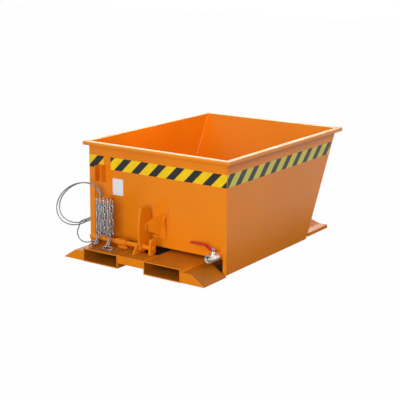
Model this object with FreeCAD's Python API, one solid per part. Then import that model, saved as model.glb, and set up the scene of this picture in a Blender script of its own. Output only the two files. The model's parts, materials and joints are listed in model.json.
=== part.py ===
"""Low tipping skip on a base with two fork pockets, with its lock, drain valve, chain and pull rope.

Millimetres, +Z up, +Y towards the pouring wall, origin under the middle of the object's box.
"""
import FreeCAD, Part
import math
import os

V = FreeCAD.Vector

# Tub of folded sheet, with a slanted pouring wall at the rear
tub_width = 820.0
tub_height = 551.0
pour_reach = 294.0
sheet = 4.0
wall_return = 20.0
ground_gap = 4.0
floor_height = 80.0
rim_reach = 22.0
rim_rear_reach = 32.0
rim_lip = 18.0
runner_width = 14.0
runner_height = 12.0
runner_inset = 6.0

# Base: fork pockets, cross plates and wings
pocket_width = 212.0
pocket_height = 66.0
pocket_wall = 5.0
pocket_gap = 156.0
pocket_reach = 200.0
base_length = 1200.0
base_tail = 238.0
plate = 5.0
cross_setback = 3.0
cross_depth = 111.0
cross_gap = 86.0
cross_lip = 40.0
middle_cross_place = 420.0
middle_cross_depth = 90.0
wing_setback = 5.0
wing_height = 49.0
wing_flat = 52.0
wing_width = 128.0
wing_tub_gap = 8.0
tail_wing_gap = 23.0
tail_wing_height = 52.0
tail_wing_ramp = 73.0
tail_flange_height = 29.0
tail_wing_width = 118.0
tail_lip = 18.0
pad_size = 60.0
pad_gap = 0.2
pad_place = 90.0
pad_rear = 112.0

# Tipping hinge over the rear ends of the pockets
hinge_inset = 40.0
hinge_rise = 30.0
hinge_pin_radius = 10.0
hinge_span = 40.0
hinge_side_gap = 1.0
lug_thickness = 8.0
lug_radius = 20.0
lug_foot = 64.0
bush_wall = 5.0
arm_thickness = 24.0
arm_boss_radius = 24.0
arm_low = 24.0
arm_high = 180.0
pin_head = 5.0
pin_head_radius = 15.0
ring_thickness = 4.0
ring_radius = 14.0

# Lock across the front: shaft, hook, lever and the catch on the tub
shaft_reach = 80.0
shaft_rise = 27.0
shaft_radius = 12.5
shaft_left = 337.0
shaft_right = 52.0
hook_face = -10.0
hook_thickness = 12.0
hook_boss = 26.0
hook_belly = 35.0
belly_height = 72.0
hook_height = 193.0
hook_crown = 17.0
horn_reach = 32.0
horn_height = 198.0
beak_reach = 65.0
beak_height = 127.0
notch_reach = 7.0
notch_depth = 6.0
notch_low = 80.0
notch_high = 110.0
throat_reach = 24.0
throat_height = 58.0
jaw_reach = 62.0
jaw_height = 41.0
chin_reach = 36.0
chin_height = 14.0
catch_gap = 1.0
catch_width = 69.0
catch_reach = 72.0
catch_rise = 92.0
catch_nose = 23.0
nose_depth = 14.0
catch_plate = 6.0
catch_up = 38.0
catch_down = 48.0
nose_block_up = 81.0
nose_block_foot = 40.0
gusset_up = 70.0
gusset_reach = 30.0
gusset_knee = 39.0
gusset_down = 57.0
backing_thickness = 4.0
backing_side = 20.0
backing_edge = 6.0
block_left = 166.0
block_width = 54.0
block_radius = 17.0
block_web = 8.0
cheek_left = 32.0
cheek_thickness = 8.0
cheek_foot = 64.0
cheek_front = 30.0
cheek_rear = 22.0
cheek_shoulder = 20.0
cheek_crown = 27.0
post_left = 36.0
post_width = 12.0
post_front = 22.0
post_foot = 26.0
post_heel = 15.0
post_rear = 26.0
post_top = 46.0
post_corner = 9.0
bush_radius = 14.5
lever_left = 335.0
lever_width = 30.0
lever_thickness = 8.0
lever_hub = 16.0
lever_top = 257.0
lever_back = -8.0
rope_peg_radius = 5.0
rope_peg_length = 34.0
rope_peg_drop = 17.0
rope_eye_ring = 7.0
rope_eye_wire = 2.5
collar_width = 10.0
collar_radius = 15.5

# Storage bracket and label plate on the front wall
bracket_inset = 66.0
bracket_width = 40.0
bracket_depth = 42.0
bracket_low = 361.0
bracket_high = 440.0
label_inset = 148.0
label_width = 65.0
label_low = 298.0
label_height = 83.0
label_thickness = 1.0

# Drain valve low on the right of the front wall
drain_inset = 42.0
drain_height = 98.0
drain_bore = 9.0
socket_radius = 18.0
socket_length = 18.0
nipple_radius = 13.0
nipple_overlap = 12.0
hex_flat = 40.0
hex_length = 14.0
valve_radius = 22.0
valve_rear = 30.0
end_length = 30.0
end_radius = 20.0
outlet_radius = 15.15
outlet_depth = 14.0
ball_radius = 13.5
ball_room = 0.5
seat_radius = 12.9
seat_depth = 13.2
seat_start = 9.5
neck_radius = 10.0
neck_height = 32.0
stem_radius = 5.0
stem_foot = 10.0
stem_top = 46.0
handle_thickness = 4.0
handle_width = 20.0
handle_length = 124.0
handle_rise = 20.0
handle_crank = 14.0
handle_slope = 28.0
nut_flat = 16.0
nut_height = 6.0

# Chain of long links, hung on a post, with a snap hook at its end
chain_reach = 120.0
chain_left = 262.0
strand_pitch = 23.5
strand_count = 4
row_pitch = 22.0
twist_angle = 24.0
link_wire = 6.0
link_inside = 34.0
link_width = 20.0
link_slack = 0.5
hang_links = 6
deck_gap = 0.6
post_radius = 7.0
post_x = -250.0
post_reach = 50.0
peg_radius = 3.5
arm_radius = 5.5
peg_length = 94.0
staple_ring = 8.0
staple_height = 12.0
last_link_angle = 45.0
bend_angle = 45.0
snap_length = 62.0
snap_width = 30.0
snap_wire = 6.0
gate_length = 30.0
gate_wire = 5.0
gate_gap = 0.6
gate_pin_radius = 1.2
gate_ear = 1.2

# Wire pull rope: two loose turns hung on the lever's peg, then a tail
rope_diameter = 6.0
coil_touch_angle = 38.0
coil_slant_angle = 22.5
coil_half_width = 146.0
coil_half_height = 115.5
coil_first_angle = -66.0
coil_turns = 2.0 + 10.0 / 360.0
coil_reach = 74.0
coil_step = 9.0
coil_draw_in = 12.0
coil_arcs = 14
ferrule_radius = 5.0
ferrule_length = 38.0
sleeve_length = 16.0

# Fits
running_gap = 0.06
press_gap = 0.02
side_gap = 0.3

# Places worked out from the sizes
bottom_length = base_length - pocket_reach - base_tail
mouth_length = bottom_length + pour_reach
front = (pocket_reach - mouth_length - rim_rear_reach) / 2
half = tub_width / 2
inner = half - sheet
wall_top = tub_height - sheet
slant = (mouth_length - bottom_length) / (tub_height - ground_gap)
slant_sheet = sheet * math.hypot(1, slant)
base_front = front - pocket_reach
base_rear = base_front + base_length
pocket_in = pocket_gap / 2
pocket_out = pocket_in + pocket_width
pocket_mid = pocket_in + pocket_width / 2
deck = pocket_height
middle_cross_y = front + middle_cross_place
hinge_y = base_rear - hinge_inset
hinge_z = deck + hinge_rise
shaft_y = front - shaft_reach
shaft_z = deck + shaft_rise
catch_z = shaft_z + catch_rise
catch_x = hook_face + catch_gap
drain_x = half - drain_inset
ball_y = front - socket_length - valve_rear
rope_peg_z = shaft_z + lever_top - rope_peg_drop
touch = math.radians(coil_touch_angle)
coil_slant = math.radians(coil_slant_angle)
touch_steep = math.atan2(coil_half_width * math.sin(touch), coil_half_height * math.cos(touch + coil_slant))
touch_gap = rope_peg_radius + rope_diameter / 2 + side_gap
rope_peg_x = lever_width / 2 - lever_left
coil_x = rope_peg_x + touch_gap * math.cos(touch_steep) - coil_half_width * math.cos(touch)
coil_z = rope_peg_z + touch_gap * math.sin(touch_steep) - coil_half_height * math.sin(touch + coil_slant)


def face(place, steps):
    """Flat face bounded by lines to points and by arcs given as (middle, end)."""
    edges = []
    start = place(*steps[0])
    here = start
    for step in steps[1:]:
        if isinstance(step[0], tuple):
            end = place(*step[1])
            edges.append(Part.Arc(here, place(*step[0]), end).toShape())
        else:
            end = place(*step)
            edges.append(Part.makeLine(here, end))
        here = end
    if here.distanceToPoint(start) > 1e-6:
        edges.append(Part.makeLine(here, start))
    return Part.Face(Part.Wire(edges))


def along_x(steps, x0, x1):
    """Outline in (y, z) carried from x0 to x1."""
    return face(lambda y, z: V(x0, y, z), steps).extrude(V(x1 - x0, 0, 0))


def along_y(steps, y0, y1):
    """Outline in (x, z) carried from y0 to y1."""
    return face(lambda x, z: V(x, y0, z), steps).extrude(V(0, y1 - y0, 0))


def along_z(steps, z0, z1):
    """Outline in (x, y) carried from z0 to z1."""
    return face(lambda x, y: V(x, y, z0), steps).extrude(V(0, 0, z1 - z0))


def box(x0, x1, y0, y1, z0, z1):
    return Part.makeBox(x1 - x0, y1 - y0, z1 - z0, V(x0, y0, z0))


def rod(radius, start, end):
    return Part.makeCylinder(radius, (end - start).Length, start, end - start)


def hex_prism(across_flats, start, end):
    """Hexagonal bar between two points, with two corners level."""
    axis = end - start
    corner = across_flats / math.sqrt(3)
    side = V(1, 0, 0)
    across = axis.normalize().cross(side)
    sixth = math.pi / 3
    ring = [start + (side * math.cos(k * sixth) + across * math.sin(k * sixth)) * corner for k in range(7)]
    return Part.Face(Part.makePolygon(ring)).extrude(end - start)


def folded(line, thickness):
    """Closed outline of a folded sheet whose outer face follows the line, with the sheet on its right."""
    normals = []
    for (a0, b0), (a1, b1) in zip(line, line[1:]):
        length = math.hypot(a1 - a0, b1 - b0)
        normals.append(((b1 - b0) / length, (a0 - a1) / length))
    back = []
    for index, (a, b) in enumerate(line):
        before = normals[max(index - 1, 0)]
        after = normals[min(index, len(normals) - 1)]
        share = thickness / (1 + before[0] * after[0] + before[1] * after[1])
        back.append((a + (before[0] + after[0]) * share, b + (before[1] + after[1]) * share))
    return list(line) + back[::-1]


def closed_solid(sides):
    """Solid between flat sides, each a list of corners."""
    faces = [Part.Face(Part.makePolygon(corners + corners[:1])) for corners in sides]
    solid = Part.Solid(Part.Shell(faces))
    solid.fix(0.001, 0.001, 0.001)
    return solid


def mirrored(shape):
    return shape.mirror(V(0, 0, 0), V(1, 0, 0))


def both(shape):
    return Part.makeCompound([shape, mirrored(shape)])


def rear_face(z):
    """Y of the pouring wall's outer face at a height."""
    return front + bottom_length + (z - ground_gap) * slant


# Tub
def right_wall():
    side = along_x([(front, ground_gap), (rear_face(ground_gap), ground_gap),
                    (rear_face(wall_top), wall_top), (front, wall_top)], inner, half)
    turned_edge = box(half - wall_return, inner, front, front + sheet, ground_gap, wall_top)
    return side.fuse(turned_edge).removeSplitter()


def front_wall():
    reach = half - wall_return
    wall = box(-reach, reach, front, front + sheet, floor_height, wall_top)
    return wall.cut(rod(drain_bore, on_drain(front), on_drain(front + sheet)))


def floor_plate():
    top = floor_height + sheet
    return along_x([(front + sheet, floor_height), (rear_face(floor_height) - slant_sheet, floor_height),
                    (rear_face(top) - slant_sheet, top), (front + sheet, top)], -inner, inner)


def rear_wall():
    low = rear_face(floor_height)
    high = rear_face(wall_top)
    return along_x([(low, floor_height), (high, wall_top), (high - slant_sheet, wall_top),
                    (low - slant_sheet, floor_height)], -inner, inner)


def rim_pieces():
    """Four mitred angles: a flat flange on the walls' top edges and a lip down its outer edge."""
    out_x = half + rim_reach
    out_front = front - rim_reach
    out_rear = front + mouth_length + rim_rear_reach
    in_front = front + sheet
    in_rear = rear_face(wall_top) - slant_sheet
    low = tub_height - rim_lip
    ring = box(-out_x, out_x, out_front, out_rear, low, tub_height)
    ring = ring.cut(box(-out_x + sheet, out_x - sheet, out_front + sheet, out_rear - sheet, low, wall_top))
    ring = ring.cut(box(-inner, inner, in_front, in_rear, low, tub_height))
    sectors = {
        "rim_front": [(-out_x, out_front), (out_x, out_front), (inner, in_front), (-inner, in_front)],
        "rim_rear": [(-out_x, out_rear), (out_x, out_rear), (inner, in_rear), (-inner, in_rear)],
        "rim_right": [(out_x, out_front), (out_x, out_rear), (inner, in_rear), (inner, in_front)],
        "rim_left": [(-out_x, out_front), (-out_x, out_rear), (-inner, in_rear), (-inner, in_front)],
    }
    return {name: ring.common(along_z(sector, low, tub_height)) for name, sector in sectors.items()}


def runner_bars():
    return both(box(inner - runner_width, inner, front + sheet, rear_face(ground_gap) - runner_inset,
                    ground_gap, ground_gap + runner_height))


def on_hinge(x):
    return V(x, hinge_y, hinge_z)


def hinge_arm():
    low = floor_height + arm_low
    high = floor_height + arm_high
    x0 = pocket_mid - arm_thickness / 2
    steps = [(rear_face(low), low), (hinge_y, hinge_z - arm_boss_radius),
             ((hinge_y + arm_boss_radius, hinge_z), (hinge_y, hinge_z + arm_boss_radius)),
             (rear_face(high), high)]
    bore = hinge_pin_radius + bush_wall + press_gap
    return along_x(steps, x0, x0 + arm_thickness).cut(rod(bore, on_hinge(x0), on_hinge(x0 + arm_thickness)))


def hinge_bush():
    reach = hinge_span / 2 - hinge_side_gap
    start = on_hinge(pocket_mid - reach)
    end = on_hinge(pocket_mid + reach)
    return rod(hinge_pin_radius + bush_wall, start, end).cut(rod(hinge_pin_radius + running_gap, start, end))


def catch_nose_block():
    """Wedge beside the cheek: its right face slants from the nose back to the wall."""
    wall = front - backing_thickness
    side = catch_x + catch_plate
    knee = front - catch_reach + nose_depth
    nose_high = V(side, knee, catch_z + catch_nose)
    nose_low = V(side, knee, catch_z - catch_nose)
    high_right = V(catch_x + catch_width, wall, catch_z + nose_block_up)
    low_right = V(catch_x + nose_block_foot, wall, catch_z - catch_down)
    high_left = V(side, wall, catch_z + catch_up)
    low_left = V(side, wall, catch_z - catch_down)
    across = (high_right - nose_high).cross(low_right - nose_high)
    nose_low.y -= across.dot(nose_low - nose_high) / across.y
    slant = [nose_high, nose_low, low_right, high_right]
    top = [nose_high, high_right, high_left]
    left = [nose_high, high_left, low_left, nose_low]
    back = [high_left, high_right, low_right, low_left]
    bottom = [nose_low, low_left, low_right]
    return closed_solid([slant, top, left, back, bottom])


def catch_cheeks():
    """Nose-shaped cheek beside the hook and a narrow gusset at the right."""
    wall = front - backing_thickness
    tip = front - catch_reach
    knee = tip + nose_depth
    nose = [(wall, catch_z + catch_up), (knee, catch_z + catch_nose),
            ((tip, catch_z), (knee, catch_z - catch_nose)), (wall, catch_z - catch_down)]
    gusset = [(wall, catch_z + gusset_up), (front - gusset_reach, catch_z + gusset_knee),
              (wall, catch_z - gusset_down)]
    right = catch_x + catch_width + catch_plate
    return Part.makeCompound([along_x(nose, catch_x, catch_x + catch_plate),
                              along_x(gusset, right, right + catch_plate)])


def catch_backing():
    right = catch_x + catch_width + 3 * catch_plate
    return box(catch_x - backing_side, right, front - backing_thickness, front,
               catch_z - gusset_down - backing_edge, catch_z + nose_block_up + backing_edge)


def storage_bracket():
    """U-shaped channel, open to the front, with its web on the wall."""
    x0 = bracket_inset - half
    x1 = x0 + bracket_width
    y0 = front - bracket_depth
    channel = box(x0, x1, y0, front, bracket_low, bracket_high)
    return channel.cut(box(x0 + sheet, x1 - sheet, y0, front - sheet, bracket_low, bracket_high))


def label_plate():
    x0 = label_inset - half
    return box(x0, x0 + label_width, front - label_thickness, front, label_low, label_low + label_height)


# Drain valve
def on_drain(y):
    return V(drain_x, y, drain_height)


def on_stem(rise):
    return V(drain_x, ball_y, drain_height + rise)


def drain_socket():
    outer = rod(socket_radius, on_drain(front - socket_length), on_drain(front))
    return outer.cut(rod(nipple_radius + press_gap, on_drain(front - socket_length), on_drain(front)))


def drain_nipple():
    start = on_drain(front - socket_length - nipple_overlap)
    end = on_drain(front)
    return rod(nipple_radius, start, end).cut(rod(drain_bore, start, end))


def valve_body():
    rear = front - socket_length
    split = ball_y - seat_depth
    shell = hex_prism(hex_flat, on_drain(rear), on_drain(rear - hex_length))
    shell = shell.fuse(rod(valve_radius, on_drain(rear - hex_length / 2), on_drain(split)))
    shell = shell.fuse(rod(neck_radius, on_stem(0), on_stem(neck_height)))
    shell = shell.cut(rod(nipple_radius + press_gap, on_drain(rear), on_drain(rear - nipple_overlap)))
    shell = shell.cut(Part.makeSphere(ball_radius + ball_room, on_drain(ball_y)))
    shell = shell.cut(rod(seat_radius + press_gap, on_drain(ball_y + seat_depth), on_drain(split)))
    shell = shell.cut(rod(drain_bore, on_drain(rear), on_drain(split)))
    return shell.cut(rod(stem_radius + running_gap, on_stem(0), on_stem(neck_height)))


def valve_end():
    split = ball_y - seat_depth
    tip = split - end_length
    shell = hex_prism(hex_flat, on_drain(split), on_drain(split - hex_length))
    shell = shell.fuse(rod(end_radius, on_drain(split - hex_length / 2), on_drain(tip)))
    shell = shell.cut(rod(drain_bore, on_drain(split), on_drain(tip)))
    return shell.cut(rod(outlet_radius, on_drain(tip + outlet_depth), on_drain(tip)))


def valve_seats():
    rings = []
    for side in (-1, 1):
        start = on_drain(ball_y + side * seat_start)
        end = on_drain(ball_y + side * seat_depth)
        ring = rod(seat_radius, start, end).cut(rod(drain_bore, start, end))
        rings.append(ring.cut(Part.makeSphere(ball_radius + ball_room / 2, on_drain(ball_y))))
    return Part.makeCompound(rings)


def valve_ball():
    ball = Part.makeSphere(ball_radius, on_drain(ball_y))
    reach = V(ball_radius, 0, 0)
    ball = ball.cut(rod(drain_bore, on_stem(0) - reach, on_stem(0) + reach))
    return ball.cut(rod(stem_radius + press_gap, on_stem(stem_foot), on_stem(ball_radius)))


def valve_stem():
    return rod(stem_radius, on_stem(stem_foot), on_stem(stem_top))


def valve_handle():
    """Cranked flat lever that points to the left when the valve is shut."""
    rise = neck_height + running_gap
    low = drain_height + rise
    high = low + handle_rise
    line = [(drain_x + handle_crank, low), (drain_x - handle_crank, low),
            (drain_x - handle_crank - handle_slope, high), (drain_x - handle_length, high)]
    bar = along_y(folded(line, handle_thickness), ball_y - handle_width / 2, ball_y + handle_width / 2)
    return bar.cut(rod(stem_radius + press_gap, on_stem(rise), on_stem(rise + handle_rise)))


def handle_nut():
    rise = neck_height + running_gap + handle_thickness
    start = on_stem(rise)
    end = on_stem(rise + nut_height)
    return hex_prism(nut_flat, start, end).cut(rod(stem_radius + press_gap, start, end))


# Base
def fork_pocket():
    tube = box(pocket_in, pocket_out, base_front, base_rear, 0, pocket_height)
    return tube.cut(box(pocket_in + pocket_wall, pocket_out - pocket_wall, base_front, base_rear,
                        pocket_wall, pocket_height - pocket_wall))


def cross_plate(y_lip, y_end):
    """Folded plate between the pockets: a lip at one edge and a top flush with the deck."""
    line = [(y_lip, deck - cross_lip), (y_lip, deck), (y_end, deck)]
    if y_end < y_lip:
        line = line[::-1]
    return along_x(folded(line, plate), -pocket_in, pocket_in)


def front_wing():
    y0 = base_front + wing_setback
    tip = pocket_out + wing_width
    knee = pocket_out + wing_flat
    run = wing_width - wing_flat
    skin = math.hypot(run, wing_height) * plate / wing_height
    top = [(pocket_out, wing_height), (knee, wing_height), (tip, 0)]
    sheet_line = folded(top, plate)
    sheet_line[3] = (tip - skin, 0)
    return along_y(sheet_line, y0 + plate, front - wing_tub_gap)


def wing_end_plate():
    y0 = base_front + wing_setback
    return along_y([(pocket_out, 0), (pocket_out + wing_width, 0), (pocket_out + wing_flat, wing_height),
                    (pocket_out, wing_height)], y0, y0 + plate)


def rear_wing():
    edge = pocket_out + tail_wing_width
    line = [(pocket_out, tail_wing_height), (pocket_out + tail_wing_ramp, tail_flange_height),
            (edge, tail_flange_height), (edge, tail_flange_height - tail_lip)]
    skin = math.hypot(tail_wing_ramp, tail_wing_height - tail_flange_height) * plate / tail_wing_ramp
    outline = folded(line, plate)
    outline[-1] = (pocket_out, tail_wing_height - skin)
    return along_y(outline, front + bottom_length + tail_wing_gap, base_rear)


def rest_pads():
    top = floor_height - pad_gap
    pads = []
    for y in (front + pad_place, front + bottom_length - pad_rear):
        pads.append(box(pocket_mid - pad_size / 2, pocket_mid + pad_size / 2, y, y + pad_size, deck, top))
    return Part.makeCompound(pads + [mirrored(pad) for pad in pads])


def hinge_lugs():
    steps = [(hinge_y - lug_foot / 2, deck), (hinge_y + lug_foot / 2, deck), (hinge_y + lug_radius, hinge_z),
             ((hinge_y, hinge_z + lug_radius), (hinge_y - lug_radius, hinge_z))]
    lugs = []
    for x0 in (pocket_mid - hinge_span / 2 - lug_thickness, pocket_mid + hinge_span / 2):
        lug = along_x(steps, x0, x0 + lug_thickness)
        lugs.append(lug.cut(rod(hinge_pin_radius + press_gap, on_hinge(x0), on_hinge(x0 + lug_thickness))))
    return Part.makeCompound(lugs + [mirrored(lug) for lug in lugs])


def hinge_pins():
    reach = hinge_span / 2 + lug_thickness
    head = on_hinge(pocket_mid - reach - pin_head)
    seat = on_hinge(pocket_mid - reach)
    end = on_hinge(pocket_mid + reach + 2 * ring_thickness)
    return both(rod(hinge_pin_radius, seat, end).fuse(rod(pin_head_radius, head, seat)).removeSplitter())


def pin_rings():
    x0 = pocket_mid + hinge_span / 2 + lug_thickness
    start = on_hinge(x0)
    end = on_hinge(x0 + ring_thickness)
    return both(rod(ring_radius, start, end).cut(rod(hinge_pin_radius + press_gap, start, end)))


# Lock
def on_shaft(x):
    return V(x, shaft_y, shaft_z)


def bearing_block():
    """Round sleeve on a narrow web, with a bore for its bush."""
    x0 = -block_left
    x1 = x0 + block_width
    web = box(x0, x1, shaft_y - block_web / 2, shaft_y + block_web / 2, deck, shaft_z)
    sleeve = rod(block_radius, on_shaft(x0), on_shaft(x1))
    return sleeve.fuse(web).removeSplitter().cut(rod(bush_radius + press_gap, on_shaft(x0), on_shaft(x1)))


def bearing_post():
    """Upright plate at the shaft's right end, with a cut front corner and a bore for its bush."""
    x1 = post_left + post_width
    top = shaft_z + post_top
    steps = [(shaft_y - post_foot, deck), (shaft_y + post_heel, deck), (shaft_y + post_rear, top),
             (shaft_y - post_front + post_corner, top), (shaft_y - post_front, top - post_corner)]
    return along_x(steps, post_left, x1).cut(rod(bush_radius + press_gap, on_shaft(post_left), on_shaft(x1)))


def bearing_bushes():
    bushes = []
    for x0, x1 in ((-block_left, -block_left + block_width), (post_left, post_left + post_width)):
        outer = rod(bush_radius, on_shaft(x0), on_shaft(x1))
        bushes.append(outer.cut(rod(shaft_radius + running_gap, on_shaft(x0), on_shaft(x1))))
    return Part.makeCompound(bushes)


def bearing_cheek():
    """Upright plate beside the hook with a sloping front edge and a low round crown."""
    rear = shaft_y + cheek_rear
    shoulder = shaft_z + cheek_shoulder
    steps = [(shaft_y - cheek_foot, deck), (rear, deck), (rear, shoulder),
             ((shaft_y, shaft_z + cheek_crown), (shaft_y - cheek_front, shoulder))]
    x0 = -cheek_left
    x1 = x0 + cheek_thickness
    return along_x(steps, x0, x1).cut(rod(shaft_radius + running_gap, on_shaft(x0), on_shaft(x1)))


def lock_shaft():
    return rod(shaft_radius, on_shaft(-shaft_left), on_shaft(shaft_right))


def hook_plate():
    """Sickle-shaped plate: boss, bulging front edge, horn, beak, and the notch and jaw that hold the catch."""
    notch_deep = (notch_reach - notch_depth, (notch_low + notch_high) / 2)
    outline = [(-hook_boss, 0), ((0, -hook_boss), (hook_boss, 0)), (chin_reach, chin_height),
               (jaw_reach, jaw_height), (throat_reach, throat_height), (notch_reach, notch_low),
               (notch_deep, (notch_reach, notch_high)), (beak_reach, beak_height),
               (horn_reach, horn_height), (-hook_crown, hook_height),
               ((-hook_belly, belly_height), (-hook_boss, 0))]
    steps = [tuple((y + shaft_y, z + shaft_z) for y, z in step) if isinstance(step[0], tuple)
             else (step[0] + shaft_y, step[1] + shaft_z) for step in outline]
    x0 = hook_face - hook_thickness
    return along_x(steps, x0, hook_face).cut(rod(shaft_radius + press_gap, on_shaft(x0), on_shaft(hook_face)))


def release_lever():
    x0 = -lever_left
    x1 = x0 + lever_width
    mid = (x0 + x1) / 2
    back = shaft_y + lever_back
    top = shaft_z + lever_top - lever_width / 2
    bar = along_y([(x0, shaft_z), (x1, shaft_z), (x1, top), ((mid, top + lever_width / 2), (x0, top))],
                  back, back + lever_thickness)
    hub = rod(lever_hub, on_shaft(x0), on_shaft(x1))
    return hub.fuse(bar).removeSplitter().cut(rod(shaft_radius + press_gap, on_shaft(x0), on_shaft(x1)))


def lever_rear():
    return shaft_y + lever_back + lever_thickness


def rope_peg():
    start = V(rope_peg_x, lever_rear(), rope_peg_z)
    return rod(rope_peg_radius, start, start + V(0, rope_peg_length, 0))


def shaft_collars():
    collars = []
    for x0 in (-block_left - collar_width - side_gap, -lever_left + lever_width + press_gap):
        start = on_shaft(x0)
        end = on_shaft(x0 + collar_width)
        collars.append(rod(collar_radius, start, end).cut(rod(shaft_radius + press_gap, start, end)))
    return Part.makeCompound(collars)


# Chain
link_round = (link_width - link_wire) / 2
link_straight = link_inside + link_wire - 2 * link_round
link_reach = link_inside + link_wire
link_hold = link_wire + link_slack
link_step = link_reach - link_hold
lying_z = deck + link_width / 2 + deck_gap
chain_y = front - chain_reach
hang_top = (lying_z + link_reach + link_step * (hang_links - 1) - link_hold / 2
            + (link_reach - 2 * link_hold) * math.cos(math.radians(bend_angle)))
middle_angles = [0.0] * (hang_links - 1)
anchored_angles = [0.0] * hang_links + [bend_angle, 90.0]
hook_angles = [0.0] * hang_links + [90.0 - last_link_angle]
peg_z = hang_top - peg_radius - deck_gap + (link_inside - link_step) / 2


def plain_link():
    """One link about the origin: long axis along Z, width along X."""
    upper = V(0, 0, link_straight / 2)
    lower = V(0, 0, -link_straight / 2)
    side = V(link_round, 0, 0)
    top = Part.Arc(upper - side, upper + V(0, 0, link_round), upper + side).toShape()
    bottom = Part.Arc(lower + side, lower - V(0, 0, link_round), lower - side).toShape()
    spine = Part.Wire([top, Part.makeLine(upper + side, lower + side), bottom,
                       Part.makeLine(lower - side, upper - side)])
    section = Part.Wire([Part.makeCircle(link_wire / 2, upper - side, V(0, 0, 1))])
    return spine.makePipeShell([section], True, False)


def placed(shape, middle, length_axis, width_axis):
    """Copy of a link with its long axis and its width turned to two given directions."""
    across = length_axis.cross(width_axis)
    matrix = FreeCAD.Matrix(width_axis.x, across.x, length_axis.x, middle.x,
                            width_axis.y, across.y, length_axis.y, middle.y,
                            width_axis.z, across.z, length_axis.z, middle.z, 0, 0, 0, 1)
    return shape.transformed(matrix, True)


def strand(x, angles, y=chain_y, twist=0.0):
    """Links down from a peg, each leaning forward by its angle and twisted most at mid height.
    Each link rests in the one before it, along whichever of the two stands upright."""
    link = plain_link()
    crown = V(x, y, hang_top + link_hold / 2)
    way_before = V(0, 0, -1)
    links = []
    for index, angle in enumerate(angles):
        lean = math.radians(angle)
        way = V(0, -math.sin(lean), -math.cos(lean))
        if index:
            crown = lower - (way_before if index % 2 else way) * link_hold
        turn = math.radians(twist) * math.sin(math.pi * index / (len(angles) - 1))
        flat = V(1, 0, 0) * math.cos(turn) + way.cross(V(1, 0, 0)) * math.sin(turn)
        width_way = flat if index % 2 else way.cross(flat)
        links.append(placed(link, crown + way * (link_reach / 2), way, width_way))
        lower = crown + way * link_reach
        way_before = way
    return links, lower - way * (link_hold / 2)


def bottom_link(x, y):
    """Level link that hangs from the last links of two neighbouring strands."""
    last_middle = hang_top - link_step * (len(middle_angles) - 0.5)
    crown = last_middle - link_inside / 2 - link_wire / 2
    level = crown - link_round + link_wire + 2 * link_slack
    return placed(plain_link(), V(x, y, level), V(1, 0, 0), V(0, 0, 1))


def strand_pair(x, y):
    """Two neighbouring strands twisted opposite ways and joined by a level link."""
    left, _ = strand(x, middle_angles, y, twist_angle)
    right, _ = strand(x + strand_pitch, middle_angles, y, -twist_angle)
    return left + right + [bottom_link(x + strand_pitch / 2, y)]


def chain_strands():
    """Front row with the two long end strands, and a rear row of paired strands on its own peg."""
    last = strand_count - 1
    anchored, _ = strand(-chain_left, anchored_angles)
    hooked, _ = strand(-chain_left + last * strand_pitch, hook_angles)
    middle = []
    for index in range(1, last, 2):
        middle += strand_pair(-chain_left + index * strand_pitch, chain_y)
    for index in range(0, last, 2):
        middle += strand_pair(-chain_left + index * strand_pitch, chain_y + row_pitch)
    rows = {"anchored_strand": anchored, "middle_strands": middle, "hook_strand": hooked}
    return {"chain_" + name: Part.makeCompound(links) for name, links in rows.items()}


def chain_post():
    """Round post on the deck with a forward arm and two cross pegs that the strands hang on."""
    back = front - post_reach
    strands_mid = -chain_left + strand_pitch * (strand_count - 1) / 2
    post = rod(post_radius, V(post_x, back, deck), V(post_x, back, peg_z + post_radius))
    arm = rod(arm_radius, V(post_x, back, peg_z), V(post_x, chain_y, peg_z))
    left = V(strands_mid - peg_length / 2, chain_y, peg_z)
    right = V(strands_mid + peg_length / 2, chain_y, peg_z)
    behind = V(0, row_pitch, 0)
    pegs = [rod(peg_radius, left, right), rod(peg_radius, left + behind, right + behind)]
    return post.fuse([arm] + pegs).removeSplitter()


def chain_staple():
    """Welded staple at the front of the deck that holds the chain's first link."""
    _, joint = strand(-chain_left, anchored_angles)
    near = joint.y + (link_wire + link_slack) / 2
    legs_top = deck + staple_height
    x = joint.x
    far = near - 2 * staple_ring
    legs = [rod(link_wire / 2, V(x, y, deck), V(x, y, legs_top)) for y in (near, far)]
    middle = V(x, near - staple_ring, legs_top)
    arch = Part.makeTorus(staple_ring, link_wire / 2, middle, V(1, 0, 0), -180, 180, 360)
    arch = arch.common(box(x - staple_ring, x + staple_ring, far - staple_ring, near + staple_ring,
                           legs_top, legs_top + 2 * staple_ring))
    return legs[0].fuse([legs[1], arch]).removeSplitter()


def snap_frame():
    """Corner and tilt of the snap hook: rear side in the last link, front side on the deck."""
    x = -chain_left + strand_pitch * (strand_count - 1)
    _, joint = strand(x, hook_angles)
    lean = math.radians(90.0 - last_link_angle)
    way = V(0, -math.sin(lean), -math.cos(lean))
    rear = joint - way * ((snap_wire + link_slack) / 2)
    drop = rear.z - deck - deck_gap - snap_wire / 2
    tilt = math.asin(drop / (snap_width - snap_wire))
    return V(x - link_width / 2 - link_wire + snap_width / 2, rear.y, rear.z), tilt


def in_snap_frame(shape):
    """Move a shape modelled about the rear side wire (x along it, -y to the front) to where the hook lies."""
    corner, tilt = snap_frame()
    moved = shape.copy()
    moved.rotate(V(0, 0, 0), V(1, 0, 0), math.degrees(tilt))
    moved.translate(corner)
    return moved


snap_round = (snap_width - snap_wire) / 2
snap_straight = snap_length - snap_width
gate_start = (snap_straight - gate_length) / 2


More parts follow.
